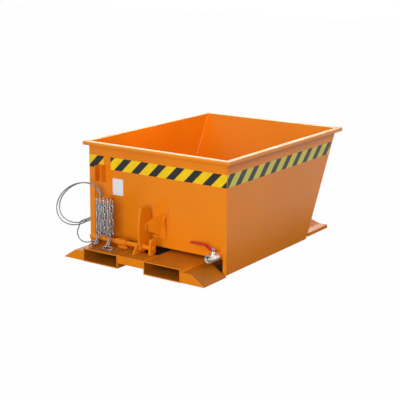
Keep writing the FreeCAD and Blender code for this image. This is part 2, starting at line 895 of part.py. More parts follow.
def snap_hook():
    """Round-wire hook, open along its front side, with two ears for the gate's pin."""
    left = V(0, -snap_round, 0)
    right = V(snap_straight, -snap_round, 0)
    up = V(0, snap_round, 0)
    side = V(snap_round, 0, 0)
    open_from = V(gate_start, -2 * snap_round, 0)
    open_to = V(gate_start + gate_length, -2 * snap_round, 0)
    left_bend = Part.Arc(left - up, left - side, left + up).toShape()
    right_bend = Part.Arc(right + up, right + side, right - up).toShape()
    spine = Part.Wire([Part.makeLine(open_from, left - up), left_bend, Part.makeLine(left + up, right + up),
                       right_bend, Part.makeLine(right - up, open_to)])
    section = Part.Wire([Part.makeCircle(snap_wire / 2, open_from, V(1, 0, 0))])
    hook = spine.makePipeShell([section], True, False)
    pin = gate_pin_place()
    top = snap_wire / 2
    low = top - gate_ear
    ear = rod(gate_wire / 2, pin + V(0, 0, low), pin + V(0, 0, top))
    arm = box(gate_start - gate_ear, pin.x, pin.y - gate_ear, pin.y + gate_ear, low, top)
    ears = [ear, arm, ear.mirror(V(0, 0, 0), V(0, 0, 1)), arm.mirror(V(0, 0, 0), V(0, 0, 1))]
    hole = rod(gate_pin_radius + press_gap, pin - V(0, 0, snap_wire), pin + V(0, 0, snap_wire))
    return in_snap_frame(hook.fuse(ears).removeSplitter().cut(hole))


def gate_pin_place():
    return V(gate_start + gate_gap + gate_wire / 2, -2 * snap_round, 0)


def gate_half_height():
    return snap_wire / 2 - gate_ear - running_gap


def snap_gate():
    """Flat gate that closes the hook's open side and swings inwards about its pin."""
    pin = gate_pin_place()
    end = gate_start + gate_length - gate_gap
    half_wire = gate_wire / 2
    low = pin.y - half_wire
    high = pin.y + half_wire
    steps = [(pin.x, low), (end, low), (end, high), (pin.x, high), ((pin.x - half_wire, pin.y), (pin.x, low))]
    gate = along_z(steps, -gate_half_height(), gate_half_height())
    hole = rod(gate_pin_radius + running_gap, pin - V(0, 0, snap_wire), pin + V(0, 0, snap_wire))
    return in_snap_frame(gate.cut(hole))


def gate_pin():
    pin = gate_pin_place()
    return in_snap_frame(rod(gate_pin_radius, pin - V(0, 0, snap_wire / 2), pin + V(0, 0, snap_wire / 2)))


# Pull rope
def coil_point(angle):
    """Point of the loose coil: a slanted oval that is drawn in turn by turn and steps towards the tub."""
    turn = math.radians(coil_first_angle) - angle
    turns = angle / (2 * math.pi)
    drawn = coil_draw_in * turns * (1 - math.cos(turn - touch)) / 2
    return V(coil_x + (coil_half_width - drawn) * math.cos(turn),
             front - coil_reach + coil_step * turns,
             coil_z + (coil_half_height - drawn) * math.sin(turn + coil_slant))


def coil_way(angle):
    """Direction of the coil at an angle, from two near points."""
    return (coil_point(angle + 1e-4) - coil_point(angle - 1e-4)).normalize()


def arc_between(start, corner, end):
    """Arc from start to end whose end tangents meet at the corner."""
    chord_middle = (start + end) * 0.5
    lean = math.acos(min(1.0, (end - start).Length / (2 * (corner - start).Length)))
    middle = chord_middle + (corner - chord_middle) * (math.tan(lean / 2) / math.tan(lean))
    return Part.Arc(start, middle, end).toShape()


def biarc(p0, t0, p1, t1):
    """Two arcs that leave p0 along t0 and reach p1 along t1."""
    gap = p1 - p0
    both_ways = gap.dot(t0 + t1)
    spread = 2 * (1 - t0.dot(t1))
    reach = (-both_ways + math.sqrt(both_ways ** 2 + spread * gap.dot(gap))) / spread
    q0 = p0 + t0 * reach
    q1 = p1 - t1 * reach
    joint = (q0 + q1) * 0.5
    return [arc_between(p0, q0, joint), arc_between(joint, q1, p1)]


def rope_coil():
    """Unbroken tube of arcs through points of the coil."""
    total = 2 * math.pi * coil_turns
    parts = math.ceil(coil_arcs * coil_turns)
    stops = [total * k / parts for k in range(parts + 1)]
    edges = [Part.makeLine(coil_start, coil_point(0))]
    for a, b in zip(stops, stops[1:]):
        edges += biarc(coil_point(a), coil_way(a), coil_point(b), coil_way(b))
    edges.append(Part.makeLine(coil_point(total), coil_end))
    section = Part.Wire([Part.makeCircle(rope_diameter / 2, coil_start, coil_way(0))])
    samples = 90
    points = [coil_point(total * k / samples) for k in range(samples + 1)]
    apart = samples // 4
    least = min((p - q).Length for i, p in enumerate(points) for q in points[i + apart:])
    print("coil: least gap to itself %.2f mm" % (least - rope_diameter))
    wire = Part.Wire(edges)
    print("coil: length %.0f mm" % wire.Length)
    return wire.makePipeShell([section], True, False)


def rope_route(points, name):
    """Tube along straight runs joined by tangent arcs as large as the runs allow."""
    edges = []
    here = points[0]
    radii = []
    for before, corner, after in zip(points, points[1:], points[2:]):
        back = (before - corner)
        ahead = (after - corner)
        shorter = min(back.Length, ahead.Length)
        cut = 0.45 * shorter
        start = corner + back * (cut / back.Length)
        end = corner + ahead * (cut / ahead.Length)
        half_turn = (math.pi - back.getAngle(ahead)) / 2
        radii.append(cut / math.tan(half_turn))
        edges.append(Part.makeLine(here, start))
        edges.append(arc_between(start, corner, end))
        here = end
    edges.append(Part.makeLine(here, points[-1]))
    wire = Part.Wire(edges)
    section = Part.Wire([Part.makeCircle(rope_diameter / 2, points[0], points[1] - points[0])])
    tube = wire.makePipeShell([section], True, False)
    volume = math.pi * (rope_diameter / 2) ** 2 * wire.Length
    print("%s: length %.0f mm, radii %s, volume ratio %.4f"
          % (name, wire.Length, ["%.0f" % r for r in radii], tube.Volume / volume))
    return tube


coil_end_way = coil_way(2 * math.pi * coil_turns)
coil_start = coil_point(0) - coil_way(0) * rope_diameter
coil_end = coil_point(2 * math.pi * coil_turns) + coil_end_way * rope_diameter
tail_points = [coil_end, coil_end + coil_end_way * 24.0] + [
    V(coil_end.x + x, coil_end.y + y, coil_end.z + z) for x, y, z in
    ((-36.5, 1.0, -43.0), (-49.5, 2.0, -73.0), (-40.5, 3.0, -103.0), (-11.5, 3.0, -117.0),
     (20.5, 2.0, -114.0), (48.5, 1.0, -104.0), (61.5, 0.0, -99.0))]


def rope_sleeve():
    way = (tail_points[-1] - tail_points[-2]).normalize()
    return rod(rope_diameter / 2 + 1, tail_points[-1], tail_points[-1] + way * sleeve_length)


def rope_ferrule():
    """Pressed sleeve where the rope leaves the lever's eye."""
    return rod(ferrule_radius, coil_start, coil_start - coil_way(0) * ferrule_length)


def rope_eye():
    """Ring on the lever's rear face that the rope's sleeve is fastened to."""
    way = coil_way(0)
    middle = coil_start - way * (ferrule_length + rope_eye_ring + rope_eye_wire + press_gap)
    ring = Part.makeTorus(rope_eye_ring, rope_eye_wire, middle, V(0, 1, 0))
    crown = middle + V(0, 0, rope_eye_ring)
    stem = rod(rope_eye_wire, V(crown.x, lever_rear(), crown.z), crown)
    return ring.fuse(stem).removeSplitter()


nodes = {
    "left_wall": mirrored(right_wall()),
    "right_wall": right_wall(),
    "front_wall": front_wall(),
    "floor_plate": floor_plate(),
    "rear_wall": rear_wall(),
    "runner_bars": runner_bars(),
    "hinge_arms": both(hinge_arm()),
    "hinge_bushes": both(hinge_bush()),
    "catch_nose": catch_nose_block(),
    "catch_cheeks": catch_cheeks(),
    "catch_backing": catch_backing(),
    "storage_bracket": storage_bracket(),
    "label_plate": label_plate(),
    "drain_socket": drain_socket(),
    "drain_nipple": drain_nipple(),
    "valve_body": valve_body(),
    "valve_end": valve_end(),
    "valve_seats": valve_seats(),
    "valve_ball": valve_ball(),
    "valve_stem": valve_stem(),
    "valve_handle": valve_handle(),
    "handle_nut": handle_nut(),
    "fork_pocket_left": mirrored(fork_pocket()),
    "fork_pocket_right": fork_pocket(),
    "front_cross_plate": cross_plate(base_front + cross_setback, front - cross_gap),
    "middle_cross_plate": cross_plate(middle_cross_y, middle_cross_y + middle_cross_depth),
    "rear_cross_plate": cross_plate(base_rear - cross_setback, base_rear - cross_setback - cross_depth),
    "front_wings": both(front_wing()),
    "wing_end_plates": both(wing_end_plate()),
    "rear_wings": both(rear_wing()),
    "rest_pads": rest_pads(),
    "hinge_lugs": hinge_lugs(),
    "hinge_pins": hinge_pins(),
    "pin_rings": pin_rings(),
    "bearing_block": bearing_block(),
    "bearing_post": bearing_post(),
    "bearing_bushes": bearing_bushes(),
    "bearing_cheek": bearing_cheek(),
    "lock_shaft": lock_shaft(),
    "hook_plate": hook_plate(),
    "release_lever": release_lever(),
    "rope_peg": rope_peg(),
    "rope_eye": rope_eye(),
    "shaft_collars": shaft_collars(),
    "rope_ferrule": rope_ferrule(),
    "pull_rope_coil": rope_coil(),
    "pull_rope_tail": rope_route(tail_points, "tail"),
    "rope_sleeve": rope_sleeve(),
    "chain_post": chain_post(),
    "chain_staple": chain_staple(),
    "snap_hook": snap_hook(),
    "snap_gate": snap_gate(),
    "gate_pin": gate_pin(),
}
nodes.update(rim_pieces())
nodes.update(chain_strands())

os.makedirs("parts", exist_ok=True)
for name, shape in nodes.items():
    shape.exportStep("parts/%s.step" % name)
gate_corner, gate_tilt = snap_frame()
gate_pin_at = in_snap_frame(Part.Vertex(gate_pin_place())).Point
print("nodes", len(nodes), "gate pin", gate_pin_at, "tilt", math.degrees(gate_tilt))
print("hinge", hinge_y, hinge_z, "shaft", shaft_y, shaft_z, "stem", drain_x, ball_y)
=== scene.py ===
"""Looks of a low tipping skip with fork pockets: painted steel, warning tape, chain, wire rope and valve.

Metres, +Z up, +Y towards the slanted pouring wall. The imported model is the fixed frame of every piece.
"""

import json
import math

import bmesh
import bpy
import numpy as np
from mathutils import Matrix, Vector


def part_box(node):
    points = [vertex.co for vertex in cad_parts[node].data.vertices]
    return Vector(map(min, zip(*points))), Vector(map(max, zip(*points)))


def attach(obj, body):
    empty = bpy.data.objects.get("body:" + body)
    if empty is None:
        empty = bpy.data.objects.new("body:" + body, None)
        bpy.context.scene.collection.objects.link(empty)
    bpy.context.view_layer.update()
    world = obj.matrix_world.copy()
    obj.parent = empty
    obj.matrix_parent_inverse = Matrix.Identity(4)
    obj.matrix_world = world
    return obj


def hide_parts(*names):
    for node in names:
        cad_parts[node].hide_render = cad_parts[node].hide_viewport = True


bl_info = {
    "name": "Tipping Skip Finish",
    "version": (1, 0, 0),
    "blender": (4, 5, 0),
    "location": "View3D > Sidebar > Skip",
    "description": "Paint, tape, weld seams, rope and valve trim for a tipping skip with fork pockets",
    "category": "Object",
}

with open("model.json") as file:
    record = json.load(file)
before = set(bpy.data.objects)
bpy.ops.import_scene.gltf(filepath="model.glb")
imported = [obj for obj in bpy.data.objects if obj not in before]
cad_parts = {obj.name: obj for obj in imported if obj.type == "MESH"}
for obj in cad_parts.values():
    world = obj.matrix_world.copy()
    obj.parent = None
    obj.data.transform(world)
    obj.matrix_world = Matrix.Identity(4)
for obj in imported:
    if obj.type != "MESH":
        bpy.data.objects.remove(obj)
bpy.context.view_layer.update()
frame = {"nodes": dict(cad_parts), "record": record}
MM = 0.001


def low(node):
    """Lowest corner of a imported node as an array."""
    return np.array(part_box(node)[0])


def high(node):
    """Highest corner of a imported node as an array."""
    return np.array(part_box(node)[1])


# Short ways to state a property
def color_property(name, description, default):
    return bpy.props.FloatVectorProperty(name=name, description=description, subtype="COLOR", size=3,
                                         default=default)


def length_property(name, description, default):
    return bpy.props.FloatProperty(name=name, description=description, unit="LENGTH", default=default)


def angle_property(name, description, degrees):
    return bpy.props.FloatProperty(name=name, description=description, subtype="ANGLE",
                                   default=math.radians(degrees))


def share_property(name, description, default):
    return bpy.props.FloatProperty(name=name, description=description, subtype="FACTOR", default=default)


# Sizes and colours that a user would change
class SkipFinish(bpy.types.PropertyGroup):
    """Colours of the finishes."""

    paint: color_property("Paint", "Powder coat of the steel", (0.80, 0.222, 0.002))
    # Painted shade: a dark colour laid in the fork pockets, under the tub and on the base's up-facing faces.
    painted_shade: color_property("Stain", "Stain in the fork pockets and on the base's top", (0.075, 0.035, 0.008))
    # Painted highlight: a paler colour on the rim's top in place of its sheen.
    rim_highlight: color_property("Rubbed", "Paler paint on the rim's top", (0.95, 0.42, 0.05))
    zinc: color_property("Zinc", "Zinc of the chain and pins", (0.42, 0.42, 0.43))
    nickel: color_property("Nickel", "Plating of the valve", (0.66, 0.65, 0.62))
    grip: color_property("Grip", "Dipped coat of the valve lever", (0.50, 0.012, 0.012))
    tape_dark: color_property("Tape dark", "Dark stripes of the tape", (0.022, 0.023, 0.026))
    tape_light: color_property("Tape light", "Light stripes of the tape on the front", (0.90, 0.60, 0.010))
    # Painted sheen: the side tape's light stripes are paler and greener than the front's in place of the
    # sheen on the sides.
    tape_light_with_sheen: color_property("Tape faded", "Light stripes of the tape on the sides", (0.70, 0.60, 0.085))
    plate: color_property("Plate", "Bare type plate", (0.78, 0.80, 0.84))


class SkipTape(bpy.types.PropertyGroup):
    """Sizes of the warning tape."""

    bottom: length_property("Bottom", "Height of the tape's lower edge", 0.422)
    top: length_property("Top", "Height of the tape's upper edge", 0.484)
    thickness: length_property("Thickness", "Thickness of the tape", 0.0004)
    pitch: length_property("Pitch", "Distance from stripe to stripe", 0.1048)
    lean: bpy.props.FloatProperty(
        name="Lean", description="Sideways lean of a stripe for each metre of height", default=1.0)
    dark_share: share_property("Dark share", "Share of the pitch that is dark", 0.46)
    front_phase: length_property("Front phase", "Place of a dark stripe's edge on the front", -0.674)
    corner_phase: length_property("Corner phase", "Place of a dark stripe's edge left of the bracket", -0.840)
    side_phase: length_property("Side phase", "Place of a dark stripe's edge on the sides", -0.066)


class SkipWeld(bpy.types.PropertyGroup):
    """Sizes of the weld seams."""

    radius: length_property("Seam radius", "Half width of a weld seam", 0.003)
    pitch: length_property("Ripple pitch", "Distance from ripple to ripple", 0.005)
    ripple: share_property("Ripple", "Swell of a ripple as a share of the radius", 0.12)


class SkipRope(bpy.types.PropertyGroup):
    """Sizes of the wire pull rope."""

    diameter: length_property("Diameter", "Diameter of the wire rope", 0.006)
    lay: length_property("Lay", "Length in which a strand goes once round", 0.030)
    strands: bpy.props.IntProperty(name="Strands", description="Strands in the rope's outer layer", default=6)
    half_width: length_property("Half width", "Half width of a turn of the coil", 0.146)
    half_height: length_property("Half height", "Half height of a turn of the coil", 0.1155)
    slant: angle_property("Slant", "Slant of the oval turns", 22.5)
    touch: angle_property("Touch", "Place on a turn where it lies on the peg", 38.0)
    first: angle_property("First", "Place on a turn where the coil starts", -66.0)
    turns: bpy.props.FloatProperty(name="Turns", description="Turns of the coil", default=2.0 + 10.0 / 360.0)
    step: length_property("Step", "Distance from turn to turn along the peg", 0.009)
    draw_in: length_property("Draw in", "Distance that a turn lies inside the last, away from the peg", 0.012)


class SkipFloor(bpy.types.PropertyGroup):
    """Sizes of the painted shade under the object, a dark patch of floor, and of the painted reflection: the
    part of the floor that gloss sees as grey.
    """

    middle: length_property("Middle", "Middle of the dark patch along the object", 0.045)
    half_length: length_property("Half length", "Half length of the dark patch", 0.485)
    half_width: length_property("Half width", "Half width of the dark patch", 0.27)
    flare: bpy.props.FloatProperty(
        name="Flare", description="Length of the patch's flare for each metre of its width", default=1.333)
    flare_end: length_property("Flare end", "Place where the flare's sides meet on the middle line", 0.1)
    grey_reach: length_property("Grey reach", "Distance to which gloss sees the floor as grey", 0.98)
    white_reach: length_property("White reach", "Distance from which gloss sees the floor as white", 1.18)
    right_grey: length_property("Right grey", "The same reach of grey towards the right", 0.5)
    right_white: length_property("Right white", "The same start of white towards the right", 0.85)
    right_extra: bpy.props.FloatProperty(
        name="Right extra", description="Strength past white that gloss sees on the right", default=0.55)


class SkipView(bpy.types.PropertyGroup):
    """Place of the camera."""

    place: bpy.props.FloatVectorProperty(
        name="Place", description="Camera position", subtype="TRANSLATION", size=3,
        default=(2.9637, -4.3757, 1.5406))
    yaw: angle_property("Yaw", "Turn of the camera from the front towards the left", 34.517)
    pitch: angle_property("Pitch", "Tilt of the camera below level", 14.050)
    roll: angle_property("Roll", "Turn of the camera about its own line of sight", 0.359)
    lens: bpy.props.FloatProperty(
        name="Lens", description="Focal length on a 36 mm wide frame, in millimetres", default=95.08)


# Shader helpers
class Finish:
    """A new material with a Principled shader, and short ways to add and join its nodes."""

    def __init__(self, name):
        self.material = bpy.data.materials.new(name)
        self.material.use_nodes = True
        self.tree = self.material.node_tree
        self.tree.nodes.clear()
        self.shader = self.add("ShaderNodeBsdfPrincipled")
        output = self.add("ShaderNodeOutputMaterial")
        self.tree.links.new(self.shader.outputs["BSDF"], output.inputs["Surface"])
        self.where = self.add("ShaderNodeTexCoord").outputs["Object"]

    def add(self, kind, sockets=None, **settings):
        made = self.tree.nodes.new(kind)
        for key, value in settings.items():
            setattr(made, key, value)
        for key, value in (sockets or {}).items():
            self.put(made.inputs[key], value)
        return made

    def put(self, socket, value):
        if isinstance(value, bpy.types.NodeSocket):
            self.tree.links.new(value, socket)
        else:
            socket.default_value = value

    def set(self, **sockets):
        for key, value in sockets.items():
            self.put(self.shader.inputs[key.replace("_", " ")], value)

    def math(self, operation, first, second=0.0, third=0.0):
        return self.add("ShaderNodeMath", {0: first, 1: second, 2: third}, operation=operation).outputs[0]

    def noise(self, scale, detail=3.0):
        made = self.add("ShaderNodeTexNoise", {"Vector": self.where, "Scale": scale, "Detail": detail})
        return made.outputs["Fac"]

    def cells(self, scale, feature="F1"):
        made = self.add("ShaderNodeTexVoronoi", {"Vector": self.where, "Scale": scale}, feature=feature)
        return made.outputs["Distance"] if feature != "F1" else made.outputs["Color"]

    def between(self, value, start, end, out_low, out_high):
        """Value carried from one range to another and held at its ends."""
        made = self.add("ShaderNodeMapRange", {"Value": value, "From Min": start, "From Max": end,
                                               "To Min": out_low, "To Max": out_high})
        return made.outputs["Result"]

    def mixed(self, share, first, second):
        made = self.add("ShaderNodeMix", {0: share, 6: first, 7: second}, data_type="RGBA")
        return made.outputs[2]

    def bump(self, height, distance, strength=1.0, normal=None):
        made = self.add("ShaderNodeBump", {"Height": height, "Distance": distance, "Strength": strength})
        if normal is not None:
            self.put(made.inputs["Normal"], normal)
        return made.outputs["Normal"]

    def edges(self, radius):
        """Rounded normal near edges, and how far it turns from the flat one."""
        rounded = self.add("ShaderNodeBevel", {"Radius": radius}, samples=6).outputs["Normal"]
        flat = self.add("ShaderNodeNewGeometry").outputs["True Normal"]
        meet = self.add("ShaderNodeVectorMath", {0: rounded, 1: flat}, operation="DOT_PRODUCT")
        return rounded, self.between(meet.outputs["Value"], 0.98, 0.80, 0.0, 1.0)


def shade(color, factor):
    return tuple(min(1.0, part * factor) for part in color) + (1.0,)


def painted_steel(name, color, painted_light=None, painted_light_color=None):
    """Powder coat: slow colour drift, fine orange peel, faint scuffs and thinner paint on edges. The painted
    light is a function that gives the share of another colour from place to place, as painted shade or a
    painted highlight."""
    f = Finish(name)
    drift = f.noise(2.2, 4.0)
    fine = f.noise(420.0, 2.0)
    scuffs = f.between(f.noise(38.0, 8.0), 0.60, 0.74, 0.0, 1.0)
    rounded, edge = f.edges(0.0022)
    base = f.mixed(f.between(drift, 0.3, 0.7, 0.0, 1.0), shade(color, 0.93), shade(color, 1.06))
    base = f.mixed(f.math("MULTIPLY", scuffs, 0.10), base, shade(color, 0.72))
    worn = f.math("MULTIPLY", edge, f.between(f.noise(60.0, 6.0), 0.42, 0.66, 0.05, 0.40))
    base = f.mixed(worn, base, (0.80, 0.42, 0.16, 1.0))
    # Painted shade or painted highlight mixed into the colour where the mask says.
    if painted_light:
        patchy = f.between(f.noise(14.0, 6.0), 0.3, 0.7, 0.55, 0.8)
        base = f.mixed(f.math("MULTIPLY", painted_light(f), patchy), base, shade(painted_light_color, 1.0))
    rough = f.between(f.noise(9.0, 5.0), 0.3, 0.7, 0.30, 0.40)
    f.set(Base_Color=base, Roughness=f.math("ADD", rough, f.math("MULTIPLY", scuffs, 0.10)),
          Normal=f.bump(fine, 0.00010, 0.35, rounded), Specular_IOR_Level=0.27, Coat_Weight=0.03,
          Coat_Roughness=0.15)
    return f.material


def zinc_steel(name, color):
    """Zinc: large dim crystals, a fine grain and duller patches."""
    f = Finish(name)
    crystals = f.cells(170.0)
    grain = f.noise(900.0, 3.0)
    patches = f.noise(45.0, 4.0)
    grey = f.add("ShaderNodeRGBToBW", {"Color": crystals}).outputs[0]
    base = f.mixed(f.between(grey, 0.1, 0.9, 0.0, 0.55), shade(color, 0.86), shade(color, 1.18))
    base = f.mixed(f.between(patches, 0.50, 0.75, 0.0, 0.5), base, shade(color, 0.62))
    rounded, _ = f.edges(0.0008)
    f.set(Base_Color=base, Metallic=1.0, Roughness=f.between(patches, 0.25, 0.75, 0.26, 0.48),
          Normal=f.bump(grain, 0.00005, 0.4, rounded))
    return f.material


def wire_steel(name, color):
    """Bright drawn wire with grease-dark streaks between the wires."""
    f = Finish(name)
    streaks = f.noise(700.0, 4.0)
    base = f.mixed(f.between(streaks, 0.35, 0.65, 0.0, 1.0), shade(color, 0.62), shade(color, 1.15))
    f.set(Base_Color=base, Metallic=1.0, Roughness=f.between(streaks, 0.3, 0.7, 0.30, 0.46),
          Normal=f.bump(streaks, 0.00012, 0.5))
    return f.material


def plated_brass(name, color):
    """Nickel plate over a cast body: a soft grain and slightly warm worn edges."""
    f = Finish(name)
    cast = f.noise(260.0, 5.0)
    rounded, edge = f.edges(0.0012)
    base = f.mixed(f.between(cast, 0.3, 0.7, 0.0, 1.0), shade(color, 0.90), shade(color, 1.08))
    base = f.mixed(f.math("MULTIPLY", edge, 0.25), base, (0.62, 0.47, 0.24, 1.0))
    f.set(Base_Color=base, Metallic=1.0, Roughness=f.between(cast, 0.25, 0.75, 0.20, 0.34),
          Normal=f.bump(cast, 0.00008, 0.5, rounded))
    return f.material


def bronze_metal(name):
    """Oiled bronze of the bushes."""
    f = Finish(name)
    grain = f.noise(500.0, 4.0)
    base = f.mixed(grain, (0.30, 0.17, 0.06, 1.0), (0.48, 0.30, 0.12, 1.0))
    f.set(Base_Color=base, Metallic=1.0, Roughness=f.between(grain, 0.3, 0.7, 0.28, 0.42),
          Normal=f.bump(grain, 0.00005, 0.4))
    return f.material


def dipped_vinyl(name, color):
    """Soft glossy coat with a faint pebble grain."""
    f = Finish(name)
    pebble = f.noise(620.0, 2.0)
    base = f.mixed(f.noise(40.0, 4.0), shade(color, 0.82), shade(color, 1.15))
    f.set(Base_Color=base, Roughness=f.between(pebble, 0.3, 0.7, 0.28, 0.38), Specular_IOR_Level=0.5,
          Normal=f.bump(pebble, 0.00012, 0.4))
    return f.material


def bare_plate(name, color):
    """Printed-film plate, left bare: satin white with a faint brushed grain."""
    f = Finish(name)
    grain = f.noise(300.0, 4.0)
    base = f.mixed(grain, shade(color, 0.94), shade(color, 1.04))
    rounded, edge = f.edges(0.0006)
    f.set(Base_Color=f.mixed(f.math("MULTIPLY", edge, 0.4), base, (0.45, 0.46, 0.48, 1.0)),
          Roughness=f.between(grain, 0.3, 0.7, 0.32, 0.44), Normal=f.bump(grain, 0.00004, 0.3, rounded))
    return f.material


def warning_tape(name, along, tape, dark_color, light_color, phase):
    """Slanted stripes on one axis and the height, with a fine cell grain as on reflective tape."""
    f = Finish(name)
    axes = f.add("ShaderNodeSeparateXYZ", {"Vector": f.where})
    slide = f.math("MULTIPLY_ADD", axes.outputs["Z"], -tape.lean, axes.outputs[along])
    ragged = f.math("MULTIPLY_ADD", f.noise(140.0, 3.0), 0.0012, slide)
    cycle = f.math("FRACT", f.math("DIVIDE", f.math("SUBTRACT", ragged, phase), tape.pitch))
    dark = f.math("LESS_THAN", cycle, tape.dark_share)
    age = f.between(f.noise(26.0, 6.0), 0.3, 0.7, 0.0, 1.0)
    light = f.mixed(age, shade(light_color, 0.92), shade(light_color, 1.06))
    black = f.mixed(age, shade(dark_color, 0.7), shade(dark_color, 1.2))
    cells = f.cells(420.0, "DISTANCE_TO_EDGE")
    f.set(Base_Color=f.mixed(dark, light, black), Roughness=f.between(age, 0.0, 1.0, 0.30, 0.42),
          Specular_IOR_Level=0.2, Normal=f.bump(f.between(cells, 0.0, 0.12, 0.0, 1.0), 0.00006, 0.35))
    return f.material


# Surfaces
def ring_faces(rings, count, closed=False):
    """Quads between neighbouring rings, then a cap at each end, or quads from the last ring to the first on a
    closed path."""
    i = np.arange(rings if closed else rings - 1)[:, None]
    j = np.arange(count)[None, :]
    ahead = (i + 1) % rings
    beside = (j + 1) % count
    quads = np.stack([i * count + j, ahead * count + j, ahead * count + beside, i * count + beside], axis=-1)
    faces = quads.reshape(-1, 4).tolist()
    if not closed:
        faces.append(list(range(count))[::-1])
        faces.append([(rings - 1) * count + k for k in range(count)])
    return faces


def carried(path, section, hint, scale=None, twist=None, closed=False):
    """A closed section carried along a path: point (i, j) is path i plus the section's u and v, turned by the
    twist and sized by the scale, on the side and upright directions that the hint gives at i."""
    path = np.asarray(path, float)
    if closed:
        way = np.roll(path, -1, axis=0) - np.roll(path, 1, axis=0)
    else:
        way = np.gradient(path, axis=0)
    way /= np.linalg.norm(way, axis=1, keepdims=True)
    side = np.cross(way, np.broadcast_to(np.asarray(hint, float), way.shape))
    side /= np.linalg.norm(side, axis=1, keepdims=True)
    upright = np.cross(side, way)
    turn = np.zeros(len(path)) if twist is None else np.asarray(twist)
    size = np.ones(len(path)) if scale is None else np.asarray(scale)
    u = section[None, :, 0] * np.cos(turn)[:, None] - section[None, :, 1] * np.sin(turn)[:, None]
    v = section[None, :, 0] * np.sin(turn)[:, None] + section[None, :, 1] * np.cos(turn)[:, None]
    points = (path[:, None, :] + (u * size[:, None])[..., None] * side[:, None, :]
              + (v * size[:, None])[..., None] * upright[:, None, :])
    return points.reshape(-1, 3), ring_faces(len(path), len(section), closed)


def round_section(count):
    """Points of a circle of radius one."""
    angle = np.linspace(0, 2 * np.pi, count, endpoint=False)
    return np.stack([np.cos(angle), np.sin(angle)], axis=1)


def soft_rectangle(width, height, power, count):
    """Superellipse: |u / half width| to the power plus |v / half height| to the power is one."""
    angle = np.linspace(0, 2 * np.pi, count, endpoint=False)
    c, s = np.cos(angle), np.sin(angle)
    return np.stack([np.sign(c) * np.abs(c) ** (2 / power) * width / 2,
                     np.sign(s) * np.abs(s) ** (2 / power) * height / 2], axis=1)


def straight(start, end, step):
    """Even points on a straight line, about a step apart."""
    start, end = np.asarray(start, float), np.asarray(end, float)
    count = max(4, int(round(np.linalg.norm(end - start) / step)) + 1)
    return start + np.linspace(0, 1, count)[:, None] * (end - start)


def circle(middle, radius, first, second, count):
    """Points round a circle on two directions."""
    angle = np.linspace(0, 2 * np.pi, count, endpoint=False)[:, None]
    ring = np.cos(angle) * np.asarray(first) + np.sin(angle) * np.asarray(second)
    return np.asarray(middle) + radius * ring


def bead(path, weld, closed=False, radius=None):
    """Weld seam: a round section along a line. Its radius swells in even ripples and tapers at open ends."""
    off_axes = (0.31, 0.52, 0.79)
    path = np.asarray(path, float)
    gaps = np.linalg.norm(np.diff(path, axis=0), axis=1)
    travel = np.concatenate([[0.0], np.cumsum(gaps)])
    size = (radius or weld.radius) * (1 + weld.ripple * np.cos(2 * np.pi * travel / weld.pitch))
    if not closed:
        ends = np.minimum(travel, travel[-1] - travel) / (2 * weld.radius)
        size = size * np.clip(0.35 + 0.65 * ends, 0.35, 1.0)
    return carried(path, round_section(9), off_axes, scale=size, closed=closed)


def seam(start, end, weld, radius=None):
    """Weld seam along a straight line, with four steps to a ripple."""
    return bead(straight(start, end, 1.25 * MM), weld, radius=radius)


def turned(profile, middle, axis, count=28):
    """A profile of (radius, height) points turned about an axis, closed at its poles by small caps."""
    axis = np.asarray(axis, float)
    other = np.array([0.0, 0.0, 1.0]) if abs(axis[2]) < 0.9 else np.array([1.0, 0.0, 0.0])
    first = np.cross(axis, other)
    first /= np.linalg.norm(first)
    second = np.cross(axis, first)
    profile = np.asarray(profile, float)
    angle = np.linspace(0, 2 * np.pi, count, endpoint=False)
    spokes = np.cos(angle)[:, None] * first + np.sin(angle)[:, None] * second
    points = np.asarray(middle) + profile[:, None, 1:2] * axis + profile[:, None, 0:1] * spokes[None, :, :]
    return points.reshape(-1, 3), ring_faces(len(profile), count)


def ruled_film(edge_low, edge_high, outward, thickness):
    """Thin film between two edges: points go across from the low edge to the high one on the outer face and
    come back on the inner face, ring after ring along the edges."""
    points_across = 5
    edge_low, edge_high = np.asarray(edge_low, float), np.asarray(edge_high, float)
    share = np.linspace(0, 1, points_across)[None, :, None]
    inner = edge_low[:, None, :] * (1 - share) + edge_high[:, None, :] * share
    outer = inner + np.asarray(outward) * thickness
    points = np.concatenate([outer, inner[:, ::-1, :]], axis=1)
    return points.reshape(-1, 3), ring_faces(*points.shape[:2])


def joined(parts):
    """Several surfaces as one list of points and one of faces."""
    points, faces, start = [], [], 0
    for part_points, part_faces in parts:
        points.append(part_points)
        faces += [[start + k for k in face] for face in part_faces]
        start += len(part_points)
    return np.concatenate(points), faces


def piece(name, surface, material, body, smooth=True):
    """New object from a surface, with its normals outwards, riding on a body."""
    points, faces = surface
    mesh = bpy.data.meshes.new(name)
    mesh.from_pydata(points.tolist(), [], faces)
    work = bmesh.new()
    work.from_mesh(mesh)
    bmesh.ops.recalc_face_normals(work, faces=work.faces)
    work.to_mesh(mesh)
    work.free()
    mesh.polygons.foreach_set("use_smooth", np.full(len(mesh.polygons), smooth))
    mesh.materials.append(material)
    made = bpy.data.objects.new(name, mesh)
    bpy.context.scene.collection.objects.link(made)
    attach(made, body)
    return made


def finish_nodes(material, *names):
    """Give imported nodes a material."""
    for name in names:
        slots = frame["nodes"][name].data.materials
        slots.clear()
        slots.append(material)


def nodes_of(slot_name):
    """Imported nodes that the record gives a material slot."""
    return [part["node"] for part in frame["record"]["subparts"] if part["material_slot"] == slot_name]


def paint_material():
    """The shared powder coat, made once."""
    finish = bpy.context.scene.skip_finish
    return bpy.data.materials.get("powder_coat") or painted_steel("powder_coat", finish.paint)


